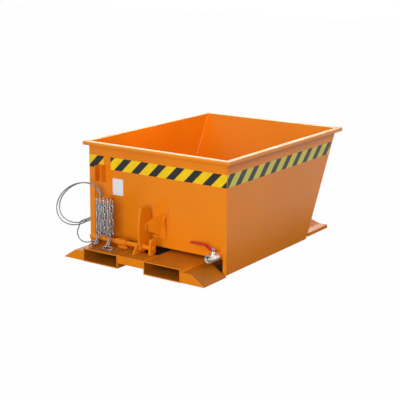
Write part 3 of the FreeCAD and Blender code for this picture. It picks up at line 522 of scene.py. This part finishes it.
def painted_shade_share(f):
    """Share of painted shade, a dark colour standing in for shade: full deep inside the pockets and on the
    faces between them under the tub, less at the pockets' mouths, and on faces that look up as if less light
    fell there."""
    wall_past = 4.5 * MM
    mouth_length = 160 * MM
    mouth_share = 0.5
    top_share = 0.75
    least_upward = 0.3
    start, end = low("fork_pocket_right"), high("fork_pocket_right")
    middle = (start + end) / 2
    room = (end - start) / 2 - wall_past
    axes = f.add("ShaderNodeSeparateXYZ", {"Vector": f.where}).outputs
    beside = f.math("ABSOLUTE", axes["X"])
    across = f.math("ABSOLUTE", f.math("ADD", beside, -float(middle[0])))
    up = f.math("ABSOLUTE", f.math("ADD", axes["Z"], -float(middle[2])))
    inside = f.math("MULTIPLY", f.math("LESS_THAN", across, float(room[0])),
                    f.math("LESS_THAN", up, float(room[2])))
    normal = f.add("ShaderNodeNewGeometry").outputs["True Normal"]
    upward = f.add("ShaderNodeSeparateXYZ", {"Vector": normal}).outputs["Z"]
    on_top = f.math("MULTIPLY", f.math("GREATER_THAN", upward, least_upward), f.math("SUBTRACT", 1.0, inside))
    facing = f.math("LESS_THAN", beside, float(start[0]) + 0.5 * MM)
    under = f.math("MULTIPLY", facing, f.math("GREATER_THAN", axes["Y"], float(high("front_cross_plate")[1])))
    mouth = f.between(axes["Y"], float(start[1]), float(start[1]) + mouth_length, mouth_share, 1.0)
    deep = f.math("MAXIMUM", f.math("MULTIPLY", inside, mouth), under)
    return f.math("MULTIPLY_ADD", on_top, top_share, deep)


def painted_rim_highlight(f):
    """Share of the painted highlight, a paler colour: full on the rim's top and fading down its edges."""
    top = float(high("rim_front")[2])
    height = f.add("ShaderNodeSeparateXYZ", {"Vector": f.where}).outputs["Z"]
    return f.between(height, top - 7 * MM, top - 2 * MM, 0.0, 1.3)


# Operators
class SKIP_OT_paint(bpy.types.Operator):
    """Powder coat on every painted steel piece"""

    bl_idname = "skip.paint"
    bl_label = "Paint the Steel"

    def execute(self, context):
        finish_nodes(paint_material(), *nodes_of("orange_paint"))
        finish = context.scene.skip_finish
        # Painted shade on the base: the pockets, the faces under the tub and the up-facing faces are darkened
        # in colour.
        shade_coat = painted_steel("painted_shade_coat", finish.paint, painted_shade_share, finish.painted_shade)
        finish_nodes(shade_coat, "fork_pocket_left", "fork_pocket_right", "front_cross_plate", "front_wings")
        # Painted highlight on the rim's top.
        rim_highlight = painted_steel("rim_highlight_coat", finish.paint, painted_rim_highlight, finish.rim_highlight)
        finish_nodes(rim_highlight, "rim_front", "rim_left", "rim_right", "rim_rear")
        return {"FINISHED"}


class SKIP_OT_metals(bpy.types.Operator):
    """Zinc, bronze and plain fittings"""

    bl_idname = "skip.metals"
    bl_label = "Finish the Metals"

    def execute(self, context):
        finish = context.scene.skip_finish
        finish_nodes(zinc_steel("chain_zinc", finish.zinc), *nodes_of("zinc_steel"))
        finish_nodes(zinc_steel("pressed_aluminium", shade(finish.zinc, 1.1)[:3]), *nodes_of("ferrule_metal"))
        finish_nodes(bronze_metal("bush_bronze"), *nodes_of("bronze"))
        finish_nodes(bare_plate("plain_white", finish.plate), *nodes_of("white_plastic"))
        return {"FINISHED"}


class SKIP_OT_valve(bpy.types.Operator):
    """Plating of the drain valve, its lever's dipped grip and the outlet's thread"""

    bl_idname = "skip.valve"
    bl_label = "Finish the Drain Valve"

    def execute(self, context):
        finish = context.scene.skip_finish
        plated = plated_brass("valve_nickel", finish.nickel)
        vinyl = dipped_vinyl("lever_vinyl", finish.grip)
        finish_nodes(plated, *nodes_of("nickel_brass"))
        finish_nodes(vinyl, *nodes_of("red_paint"))
        self.grip(vinyl)
        self.thread(plated)
        return {"FINISHED"}

    def grip(self, vinyl):
        """Soft rectangle carried along the lever's flat arm, smaller at both ends."""
        arm_thickness = 4 * MM
        grip_thickness = 8 * MM
        grip_width = 25 * MM
        grip_length = 84 * MM
        past_arm = 1 * MM
        end_share = 0.05
        end_size = 0.80
        start, end = low("valve_handle"), high("valve_handle")
        middle_y = (start[1] + end[1]) / 2
        arm_z = end[2] - arm_thickness / 2
        path = straight((start[0] + grip_length, middle_y, arm_z), (start[0] - past_arm, middle_y, arm_z),
                        2 * MM)
        share = np.linspace(0, 1, len(path))
        ends = np.clip(np.minimum(share, 1 - share) / end_share, 0, 1)
        size = end_size + (1 - end_size) * np.sqrt(1 - (1 - ends) ** 2)
        section = soft_rectangle(grip_width, grip_thickness, 5.0, 32)
        piece("lever_grip", carried(path, section, (0, 0, 1), scale=size), vinyl, "valve_lever")

    def thread(self, plated):
        """Ridges of the outlet's thread: a saw profile turned about the outlet."""
        ridges = 6
        pitch = 2.3 * MM
        depth = 1.0 * MM
        wall = 15.1 * MM
        backing = 0.6 * MM
        count = 40
        start, end = low("valve_end"), high("valve_end")
        middle = np.array([(start[0] + end[0]) / 2, start[1], (start[2] + end[2]) / 2])
        crests = np.arange(2 * ridges + 1)
        inner = np.stack([wall - (crests % 2) * depth, crests * pitch / 2], axis=1)
        outer = np.stack([np.full(2, wall + backing), inner[[-1, 0], 1]], axis=1)
        profile = np.concatenate([inner, outer])
        points, faces = turned(profile, middle, (0, 1, 0), count)
        last = (len(profile) - 1) * count
        faces = faces[:-2] + [[last + j, j, (j + 1) % count, last + (j + 1) % count] for j in range(count)]
        piece("outlet_thread", (points, faces), plated, "tub", smooth=False)


class SKIP_OT_tape(bpy.types.Operator):
    """Striped warning tape round the front and both sides"""

    bl_idname = "skip.tape"
    bl_label = "Stick On the Tape"

    def execute(self, context):
        tape, finish = context.scene.skip_tape, context.scene.skip_finish
        front_y = low("front_wall")[1]
        left, right = low("left_wall")[0], high("right_wall")[0]
        bracket_low, bracket_high = low("storage_bracket"), high("storage_bracket")
        margin = 2 * MM
        above_bracket = 14 * MM
        past_bracket = 30 * MM
        film_step = 12 * MM
        corner = [(left + margin, bracket_low[0] - margin, tape.bottom),
                  (bracket_low[0] - margin, bracket_high[0] - above_bracket, bracket_high[2] + margin)]
        front = [(bracket_high[0] + past_bracket, right - margin, tape.bottom)]
        for name, bands, phase in (("corner", corner, tape.corner_phase), ("front", front, tape.front_phase)):
            films = [ruled_film(straight((x0, front_y, bottom), (x1, front_y, bottom), film_step),
                                straight((x0, front_y, tape.top), (x1, front_y, tape.top), film_step),
                                (0, -1, 0), tape.thickness) for x0, x1, bottom in bands]
            stripes = warning_tape(name + "_tape", "X", tape, finish.tape_dark, finish.tape_light, phase)
            piece(name + "_warning_tape", joined(films), stripes, "tub", smooth=False)
        # The sides' tape takes the paler colour as painted sheen.
        side = warning_tape("side_tape", "Y", tape, finish.tape_dark, finish.tape_light_with_sheen, tape.side_phase)
        for name, wall_x, out in (("right_warning_tape", right, 1.0), ("left_warning_tape", left, -1.0)):
            self.side_band(name, wall_x, out, tape, side, front_y + margin)
        return {"FINISHED"}

    def side_band(self, name, wall_x, out, tape, material, start_y):
        """Band from the front edge to the slanted pouring wall's edge at each height."""
        edge_gap = 9 * MM
        foot, head = low("rear_wall"), high("rear_wall")
        slant = (head[1] - foot[1]) / (head[2] - foot[2])
        ends = [head[1] - (head[2] - z) * slant - edge_gap for z in (tape.bottom, tape.top)]
        share = np.linspace(0, 1, 80)[:, None]
        edges = [np.array([wall_x, start_y, z]) + share * np.array([0, end - start_y, 0])
                 for z, end in zip((tape.bottom, tape.top), ends)]
        film = ruled_film(edges[0], edges[1], (out, 0, 0), tape.thickness)
        piece(name, film, material, "tub", smooth=False)


class SKIP_OT_welds(bpy.types.Operator):
    """Rippled weld seams where plates, posts and brackets meet"""

    bl_idname = "skip.welds"
    bl_label = "Lay the Weld Seams"

    def execute(self, context):
        weld = context.scene.skip_weld
        paint = paint_material()
        piece("base_weld_seams", joined(self.base_seams(weld)), paint, "base")
        piece("tub_weld_seams", joined(self.tub_seams(weld)), paint, "tub")
        piece("lock_weld_seams", joined(self.lock_seams(weld)), paint, "lock")
        return {"FINISHED"}

    def foot_seams(self, node, y0, y1, z, weld):
        """Seams along both sides and the front of a piece's foot."""
        x0, x1 = low(node)[0], high(node)[0]
        corners = [(x0, y1, z), (x0, y0, z), (x1, y0, z), (x1, y1, z)]
        return [seam(a, b, weld) for a, b in zip(corners, corners[1:])]

    def base_seams(self, weld):
        """Seams of the bearings, the chain's post and staple, the wings, cross plates and hinge lugs."""
        web_half = 7 * MM
        post_x = -0.250
        post_radius = 7 * MM
        end_plate = 5 * MM
        ground_gap = 3 * MM
        sunk = 1 * MM
        lug = 8 * MM
        lug_span = 48 * MM
        deck = high("fork_pocket_left")[2]
        seams = []
        for node in ("bearing_post", "bearing_cheek"):
            seams += self.foot_seams(node, low(node)[1], high("front_cross_plate")[1], deck, weld)
        web = (low("bearing_block")[1] + high("bearing_block")[1]) / 2
        seams += self.foot_seams("bearing_block", web - web_half, web + web_half, deck, weld)
        post_y = high("chain_post")[1] - post_radius
        seams.append(bead(circle((post_x, post_y, deck), post_radius, (1, 0, 0), (0, 1, 0), 48), weld, True))
        staple_low, staple_high = low("chain_staple"), high("chain_staple")
        leg = (staple_high[0] - staple_low[0]) / 2
        for y in (staple_low[1] + leg, staple_high[1] - leg):
            ring = circle((staple_low[0] + leg, y, deck), leg, (1, 0, 0), (0, 1, 0), 24)
            seams.append(bead(ring, weld, True, 1.6 * MM))
        wing_low, wing_high = low("front_wings"), high("front_wings")
        tail_low, tail_high = low("rear_wings"), high("rear_wings")
        wing_front = wing_low[1] - end_plate
        for side in (-1, 1):
            out, near = side * high("fork_pocket_right")[0], side * low("fork_pocket_right")[0]
            seams.append(seam((out, wing_low[1], wing_high[2]), (out, wing_high[1], wing_high[2]), weld))
            seams.append(seam((out, wing_front, ground_gap), (out, wing_front, wing_high[2]), weld))
            seams.append(seam((out, tail_low[1], tail_high[2]), (out, tail_high[1], tail_high[2]), weld))
            for node in ("front_cross_plate", "middle_cross_plate", "rear_cross_plate"):
                seams.append(seam((near, low(node)[1], deck - sunk), (near, high(node)[1], deck - sunk), weld,
                                  2.2 * MM))
        lug_low, lug_high = low("hinge_lugs"), high("hinge_lugs")
        for side in (-1, 1):
            for inset in (0.0, lug, lug_span, lug_span + lug):
                x = side * (lug_high[0] - inset)
                seams.append(seam((x, lug_low[1], deck), (x, lug_high[1], deck), weld))
        return seams

    def tub_seams(self, weld):
        """Seams inside the tub, across the rim's corners, and round the pieces on the front wall."""
        sheet_slant = 4.5 * MM
        nose_back = 29 * MM
        front, floor, rear = high("front_wall")[1], high("floor_plate")[2], high("floor_plate")[1]
        inner = high("floor_plate")[0]
        rim_low, rim_high = low("rim_front"), high("rim_rear")
        rim_top = rim_high[2] - 1 * MM
        top = high("front_wall")[2]
        wall_top_y = high("rear_wall")[1] - sheet_slant
        seams = [seam((-inner, front, floor), (inner, front, floor), weld),
                 seam((-inner, rear, floor), (inner, rear, floor), weld)]
        rim_inside = [(inner, front), (inner, wall_top_y)]
        rim_outside = [(-rim_low[0], rim_low[1]), (-rim_low[0], rim_high[1])]
        for side in (-1, 1):
            wall = side * inner
            seams.append(seam((wall, front, floor), (wall, rear, floor), weld))
            seams.append(seam((wall, front, floor), (wall, front, top), weld))
            seams.append(seam((wall, rear, floor), (wall, wall_top_y, top), weld, 6 * MM))
            for (x0, y0), (x1, y1) in zip(rim_inside, rim_outside):
                seams.append(seam((side * x0, y0, rim_top), (side * x1, y1, rim_top), weld, 1.8 * MM))
        seams += self.wall_loop("catch_backing", weld)
        seams += self.wall_loop("storage_bracket", weld)[1::2]
        socket_low, socket_high = low("drain_socket"), high("drain_socket")
        middle = (socket_low + socket_high) / 2
        middle[1] = socket_high[1]
        ring = circle(middle, (socket_high[0] - socket_low[0]) / 2, (1, 0, 0), (0, 0, 1), 96)
        seams.append(bead(ring, weld, True))
        nose_low, nose_high = low("catch_nose"), high("catch_nose")
        seams.append(seam((nose_high[0] - nose_back, nose_high[1], nose_low[2]), nose_high, weld))
        return seams

    def wall_loop(self, node, weld):
        """Seam round a plate that stands on the front wall."""
        (x0, _, z0), (x1, y, z1) = low(node), high(node)
        corners = [(x0, y, z0), (x1, y, z0), (x1, y, z1), (x0, y, z1)]
        return [seam(a, b, weld, 2.4 * MM) for a, b in zip(corners, corners[1:] + corners[:1])]

    def lock_seams(self, weld):
        """Seams round the shaft at its plates, and round the rope's peg."""
        shaft_low, shaft_high = low("lock_shaft"), high("lock_shaft")
        middle = (shaft_low + shaft_high) / 2
        radius = (shaft_high[2] - shaft_low[2]) / 2
        seams = []
        for x in (low("hook_plate")[0], high("hook_plate")[0], low("release_lever")[0]):
            ring = circle((x, middle[1], middle[2]), radius, (0, 1, 0), (0, 0, 1), 64)
            seams.append(bead(ring, weld, True, 2.4 * MM))
        peg_low, peg_high = low("rope_peg"), high("rope_peg")
        ring = circle(((peg_low[0] + peg_high[0]) / 2, peg_low[1], (peg_low[2] + peg_high[2]) / 2),
                      (peg_high[0] - peg_low[0]) / 2, (1, 0, 0), (0, 0, 1), 36)
        seams.append(bead(ring, weld, True, 1.8 * MM))
        return seams


class SKIP_OT_plate(bpy.types.Operator):
    """Dome rivets of the bare type plate"""

    bl_idname = "skip.plate"
    bl_label = "Rivet the Plate"

    def execute(self, context):
        metal = bpy.data.materials["pressed_aluminium"]
        (x0, y, z0), (x1, _, z1) = low("label_plate"), high("label_plate")
        inset = 5 * MM
        head_radius = 2.4 * MM
        head_height = 1.3 * MM
        pole = 0.02 * MM
        lift = np.linspace(0, np.pi / 2, 7)
        profile = np.stack([head_radius * np.cos(lift) + pole, head_height * np.sin(lift)], axis=1)
        heads = [turned(profile, (x, y, z), (0, -1, 0), 20)
                 for x in (x0 + inset, x1 - inset) for z in (z0 + inset, z1 - inset)]
        piece("plate_rivets", joined(heads), metal, "tub")
        return {"FINISHED"}


class SKIP_OT_rope(bpy.types.Operator):
    """Wire pull rope: loose turns over the lever's peg and a short tail"""

    bl_idname = "skip.rope"
    bl_label = "Hang the Pull Rope"

    def execute(self, context):
        rope = context.scene.skip_rope
        line = self.read_line(self.route(rope))
        travel = np.concatenate([[0.0], np.cumsum(np.linalg.norm(np.diff(line, axis=0), axis=1))])
        ring_step = 1.6 * MM
        groove = 0.20
        even = np.linspace(0, travel[-1], int(travel[-1] / ring_step))
        path = np.stack([np.interp(even, travel, line[:, k]) for k in range(3)], axis=1)
        angle = np.linspace(0, 2 * np.pi, 6 * rope.strands, endpoint=False)
        ridge = 1 - groove + groove * np.abs(np.cos(rope.strands * angle / 2))
        section = (rope.diameter / 2 * ridge)[:, None] * np.stack([np.cos(angle), np.sin(angle)], axis=1)
        wire = wire_steel("rope_wire", shade(context.scene.skip_finish.zinc, 0.72)[:3])
        surface = carried(path, section, (0, 1, 0), twist=2 * np.pi * even / rope.lay)
        made = piece("pull_rope", surface, wire, "lock")
        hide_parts("pull_rope_coil", "pull_rope_tail")
        return {"FINISHED"}

    def route(self, rope):
        """Points of the rope: slanted oval turns from the ferrule, each a step nearer the tub and drawn in
        away from the peg, then the tail down, round and back under the lever."""
        clearance = 0.3 * MM
        standoff = 74 * MM
        lead = 24 * MM
        peg_low, peg_high = low("rope_peg"), high("rope_peg")
        peg = (peg_low + peg_high) / 2
        touch = rope.touch
        steep = math.atan2(rope.half_width * math.sin(touch), rope.half_height * math.cos(touch + rope.slant))
        gap = (peg_high[2] - peg_low[2]) / 2 + rope.diameter / 2 + clearance
        middle_x = peg[0] + gap * math.cos(steep) - rope.half_width * math.cos(touch)
        middle_z = peg[2] + gap * math.sin(steep) - rope.half_height * math.sin(touch + rope.slant)
        run = np.linspace(0, 2 * np.pi * rope.turns, int(36 * rope.turns) + 2)

        def coil(run):
            turn = rope.first - run
            drawn = rope.draw_in * run / (2 * np.pi) * (1 - np.cos(turn - touch)) / 2
            return np.stack([middle_x + (rope.half_width - drawn) * np.cos(turn),
                             low("front_wall")[1] - standoff + rope.step * run / (2 * np.pi),
                             middle_z + (rope.half_height - drawn) * np.sin(turn + rope.slant)], axis=-1)

        def way(at):
            step = coil(np.array(at + 1e-4)) - coil(np.array(at - 1e-4))
            return step / np.linalg.norm(step)

        first = coil(np.array(0.0)) - way(0.0) * rope.diameter
        last = coil(run)[-1] + way(run[-1]) * rope.diameter
        led_out = last + way(run[-1]) * lead
        tail = last + MM * np.array([(-36.5, 1.0, -43.0), (-49.5, 2.0, -73.0), (-40.5, 3.0, -103.0),
                                     (-11.5, 3.0, -117.0), (20.5, 2.0, -114.0), (48.5, 1.0, -104.0),
                                     (61.5, 0.0, -99.0)])
        return np.concatenate([first[None], coil(run), last[None], led_out[None], tail])

    def read_line(self, route):
        """Points of the smooth spline through the route, read from a curve with no thickness."""
        curve = bpy.data.curves.new("rope_route", "CURVE")
        curve.dimensions = "3D"
        spline = curve.splines.new("NURBS")
        spline.points.add(len(route) - 1)
        spline.points.foreach_set("co", np.column_stack([route, np.ones(len(route))]).ravel())
        spline.order_u = 3
        spline.use_endpoint_u = True
        spline.resolution_u = 12
        holder = bpy.data.objects.new("rope_route", curve)
        mesh = bpy.data.meshes.new_from_object(holder)
        points = np.empty(3 * len(mesh.vertices))
        mesh.vertices.foreach_get("co", points)
        bpy.data.meshes.remove(mesh)
        bpy.data.objects.remove(holder)
        bpy.data.curves.remove(curve)
        return points.reshape(-1, 3)


class SKIP_OT_stage(bpy.types.Operator):
    """Pale floor, soft studio light and the camera"""

    bl_idname = "skip.stage"
    bl_label = "Set the Stage"

    def execute(self, context):
        self.floor(context)
        self.world(context)
        self.lamp("top_softbox", place=(0.2, 0.2, 4.2), target=(0, 0.1, 0.3), size=4.5, power=11.0)
        self.lamp("front_softbox", place=(1.2, -4.9, 1.45), target=(0, -0.2, 0.45), size=3.0, power=180.0)
        self.lamp("right_softbox", place=(3.8, 0.4, 3.9), target=(0, 0.2, 0.45), size=3.0, power=88.0)
        self.lamp("inside_softbox", place=(0.36, 0.35, 1.5), target=(-0.4, 0.0, 0.4), size=0.5, power=1.3,
                  spread=math.radians(60.0), color=(1.0, 0.4, 0.1))
        self.lamp("back_softbox", place=(-2.9, 4.3, 1.9), target=(0, 0.1, 0.5), size=2.6, power=60.0)
        self.camera(context)
        context.scene.view_settings.view_transform = "Standard"
        return {"FINISHED"}

    def floor(self, context):
        """Plain floor that keeps a soft shadow, looks white to the camera and is left dark under the object
        as painted shade. Gloss sees it as grey near the object, white farther out and brighter on the right,
        as painted reflections on the walls."""
        reach = 14.0
        white_share = 0.985
        grey = 0.1
        size = context.scene.skip_floor
        mesh = bpy.data.meshes.new("floor")
        mesh.from_pydata([(-reach, -reach, 0), (reach, -reach, 0), (reach, reach, 0), (-reach, reach, 0)], [],
                         [(0, 1, 2, 3)])
        made = bpy.data.objects.new("floor", mesh)
        context.scene.collection.objects.link(made)
        f = Finish("studio_floor")
        f.set(Base_Color=(0.14, 0.14, 0.14, 1.0), Roughness=0.9)
        axes = f.add("ShaderNodeSeparateXYZ", {"Vector": f.where}).outputs
        beside = f.math("ABSOLUTE", axes["X"])
        along = f.math("ABSOLUTE", f.math("ADD", axes["Y"], -size.middle))
        skew = f.math("MULTIPLY_ADD", beside, size.flare, axes["Y"])
        # Painted shade: inside this patch the camera sees the dark floor instead of white.
        past_side = f.math("MINIMUM", f.math("ADD", beside, -size.half_width),
                           f.math("ADD", skew, -size.flare_end))
        open_floor = f.math("MAXIMUM", f.math("GREATER_THAN", past_side, 0.0),
                            f.math("GREATER_THAN", along, size.half_length))
        flat = f.add("ShaderNodeVectorMath", {0: f.where, 1: (1.0, 1.0, 0.0)}, operation="MULTIPLY")
        span = f.add("ShaderNodeVectorMath", {0: flat.outputs["Vector"]}, operation="LENGTH")
        # Painted reflection: gloss sees the floor grey near the object and glowing past white on the right,
        # which dims the lower walls' sheen and brightens the right wall's.
        around = f.between(span.outputs["Value"], size.grey_reach, size.white_reach, grey, 1.0)
        right = f.between(axes["X"], size.right_grey, size.right_white, grey, 1.0)
        extra = f.between(axes["X"], size.right_grey, size.right_white, 0.0, size.right_extra)
        share = f.math("MULTIPLY", open_floor, white_share)
        self.white_to_camera(f, share, f.math("MAXIMUM", around, right), extra)
        mesh.materials.append(f.material)

    def white_to_camera(self, f, share, in_gloss, extra):
        """Mix in plain white for rays that show the background: from the camera, gloss and glass. Gloss sees
        a share of it, with some extra strength."""
        path = f.add("ShaderNodeLightPath").outputs
        gloss = f.math("MULTIPLY", path["Is Glossy Ray"], in_gloss)
        seen = f.math("MAXIMUM", path["Is Camera Ray"], f.math("MAXIMUM", gloss, path["Is Transmission Ray"]))
        # Painted reflection: the extra strength makes the floor glow past white for gloss.
        strength = f.math("MULTIPLY_ADD", path["Is Glossy Ray"], extra, 1.0)
        white = f.add("ShaderNodeEmission", {"Color": (1, 1, 1, 1), "Strength": strength}).outputs[0]
        blend = f.add("ShaderNodeMixShader", {0: f.math("MULTIPLY", seen, share), 1: f.shader.outputs["BSDF"],
                                              2: white})
        output = next(n for n in f.tree.nodes if n.type == "OUTPUT_MATERIAL")
        f.tree.links.new(blend.outputs[0], output.inputs["Surface"])

    def world(self, context):
        """Even grey light all round that shows as white behind the object."""
        world = bpy.data.worlds.new("studio")
        world.use_nodes = True
        context.scene.world = world
        tree = world.node_tree
        tree.nodes.clear()
        path = tree.nodes.new("ShaderNodeLightPath").outputs
        dim = tree.nodes.new("ShaderNodeBackground")
        dim.inputs["Color"].default_value = (1.0, 1.0, 1.0, 1.0)
        dim.inputs["Strength"].default_value = 0.33
        white = tree.nodes.new("ShaderNodeBackground")
        white.inputs["Color"].default_value = (1.0, 1.0, 1.0, 1.0)
        seen = path["Is Camera Ray"]
        for other in ("Is Glossy Ray", "Is Transmission Ray"):
            most = tree.nodes.new("ShaderNodeMath")
            most.operation = "MAXIMUM"
            tree.links.new(seen, most.inputs[0])
            tree.links.new(path[other], most.inputs[1])
            seen = most.outputs[0]
        blend = tree.nodes.new("ShaderNodeMixShader")
        tree.links.new(seen, blend.inputs[0])
        tree.links.new(dim.outputs[0], blend.inputs[1])
        tree.links.new(white.outputs[0], blend.inputs[2])
        output = tree.nodes.new("ShaderNodeOutputWorld")
        tree.links.new(blend.outputs[0], output.inputs["Surface"])

    def lamp(self, name, place, target, size, power, spread=math.pi, color=(1.0, 1.0, 1.0)):
        """Square soft light that faces a point."""
        light = bpy.data.lights.new(name, "AREA")
        light.color = color
        light.size = size
        light.energy = power
        light.spread = spread
        made = bpy.data.objects.new(name, light)
        made.visible_camera = False
        bpy.context.scene.collection.objects.link(made)
        way = np.array(target) - np.array(place)
        back = -way / np.linalg.norm(way)
        side = np.cross((0.0, 1.0, 0.01), back)
        side /= np.linalg.norm(side)
        turn = Matrix(np.column_stack([side, np.cross(back, side), back]).tolist()).to_4x4()
        made.matrix_world = Matrix.Translation(place) @ turn

    def camera(self, context):
        """Camera at the viewing angle: yaw and pitch give its line of sight, and roll turns it about that."""
        view = context.scene.skip_view
        ahead = math.cos(view.pitch)
        sight = np.array([-math.sin(view.yaw) * ahead, math.cos(view.yaw) * ahead, -math.sin(view.pitch)])
        level = np.array([math.cos(view.yaw), math.sin(view.yaw), 0.0])
        upright = np.cross(level, sight)
        side = math.cos(view.roll) * level + math.sin(view.roll) * upright
        above = -math.sin(view.roll) * level + math.cos(view.roll) * upright
        lens = bpy.data.cameras.new("camera")
        lens.sensor_width = 36.0
        lens.sensor_fit = "HORIZONTAL"
        lens.lens = view.lens
        lens.clip_end = 60.0
        made = bpy.data.objects.new("camera", lens)
        context.scene.collection.objects.link(made)
        made.matrix_world = (Matrix.Translation(view.place)
                             @ Matrix(np.column_stack([side, above, -sight]).tolist()).to_4x4())
        context.scene.camera = made


class SKIP_PT_panel(bpy.types.Panel):
    """Sidebar list of the skip's finishing steps"""

    bl_label = "Tipping Skip"
    bl_idname = "SKIP_PT_panel"
    bl_space_type = "VIEW_3D"
    bl_region_type = "UI"
    bl_category = "Skip"

    def draw(self, context):
        for step in steps:
            self.layout.operator(step.bl_idname)
        for group in groups:
            held = getattr(context.scene, group)
            for name in held.__annotations__:
                self.layout.prop(held, name)


steps = (SKIP_OT_paint, SKIP_OT_metals, SKIP_OT_valve, SKIP_OT_tape, SKIP_OT_welds, SKIP_OT_plate,
         SKIP_OT_rope, SKIP_OT_stage)
groups = {"skip_finish": SkipFinish, "skip_tape": SkipTape, "skip_weld": SkipWeld, "skip_rope": SkipRope,
          "skip_floor": SkipFloor, "skip_view": SkipView}


def register():
    for name, group in groups.items():
        bpy.utils.register_class(group)
        setattr(bpy.types.Scene, name, bpy.props.PointerProperty(type=group))
    for step in steps + (SKIP_PT_panel,):
        bpy.utils.register_class(step)


def unregister():
    for step in (SKIP_PT_panel,) + steps[::-1]:
        bpy.utils.unregister_class(step)
    for name, group in groups.items():
        delattr(bpy.types.Scene, name)
        bpy.utils.unregister_class(group)


def main():
    register()
    bpy.ops.skip.stage()
    bpy.ops.skip.paint()
    bpy.ops.skip.metals()
    bpy.ops.skip.valve()
    bpy.ops.skip.tape()
    bpy.ops.skip.welds()
    bpy.ops.skip.plate()
    bpy.ops.skip.rope()


if __name__ == "__main__":
    main()
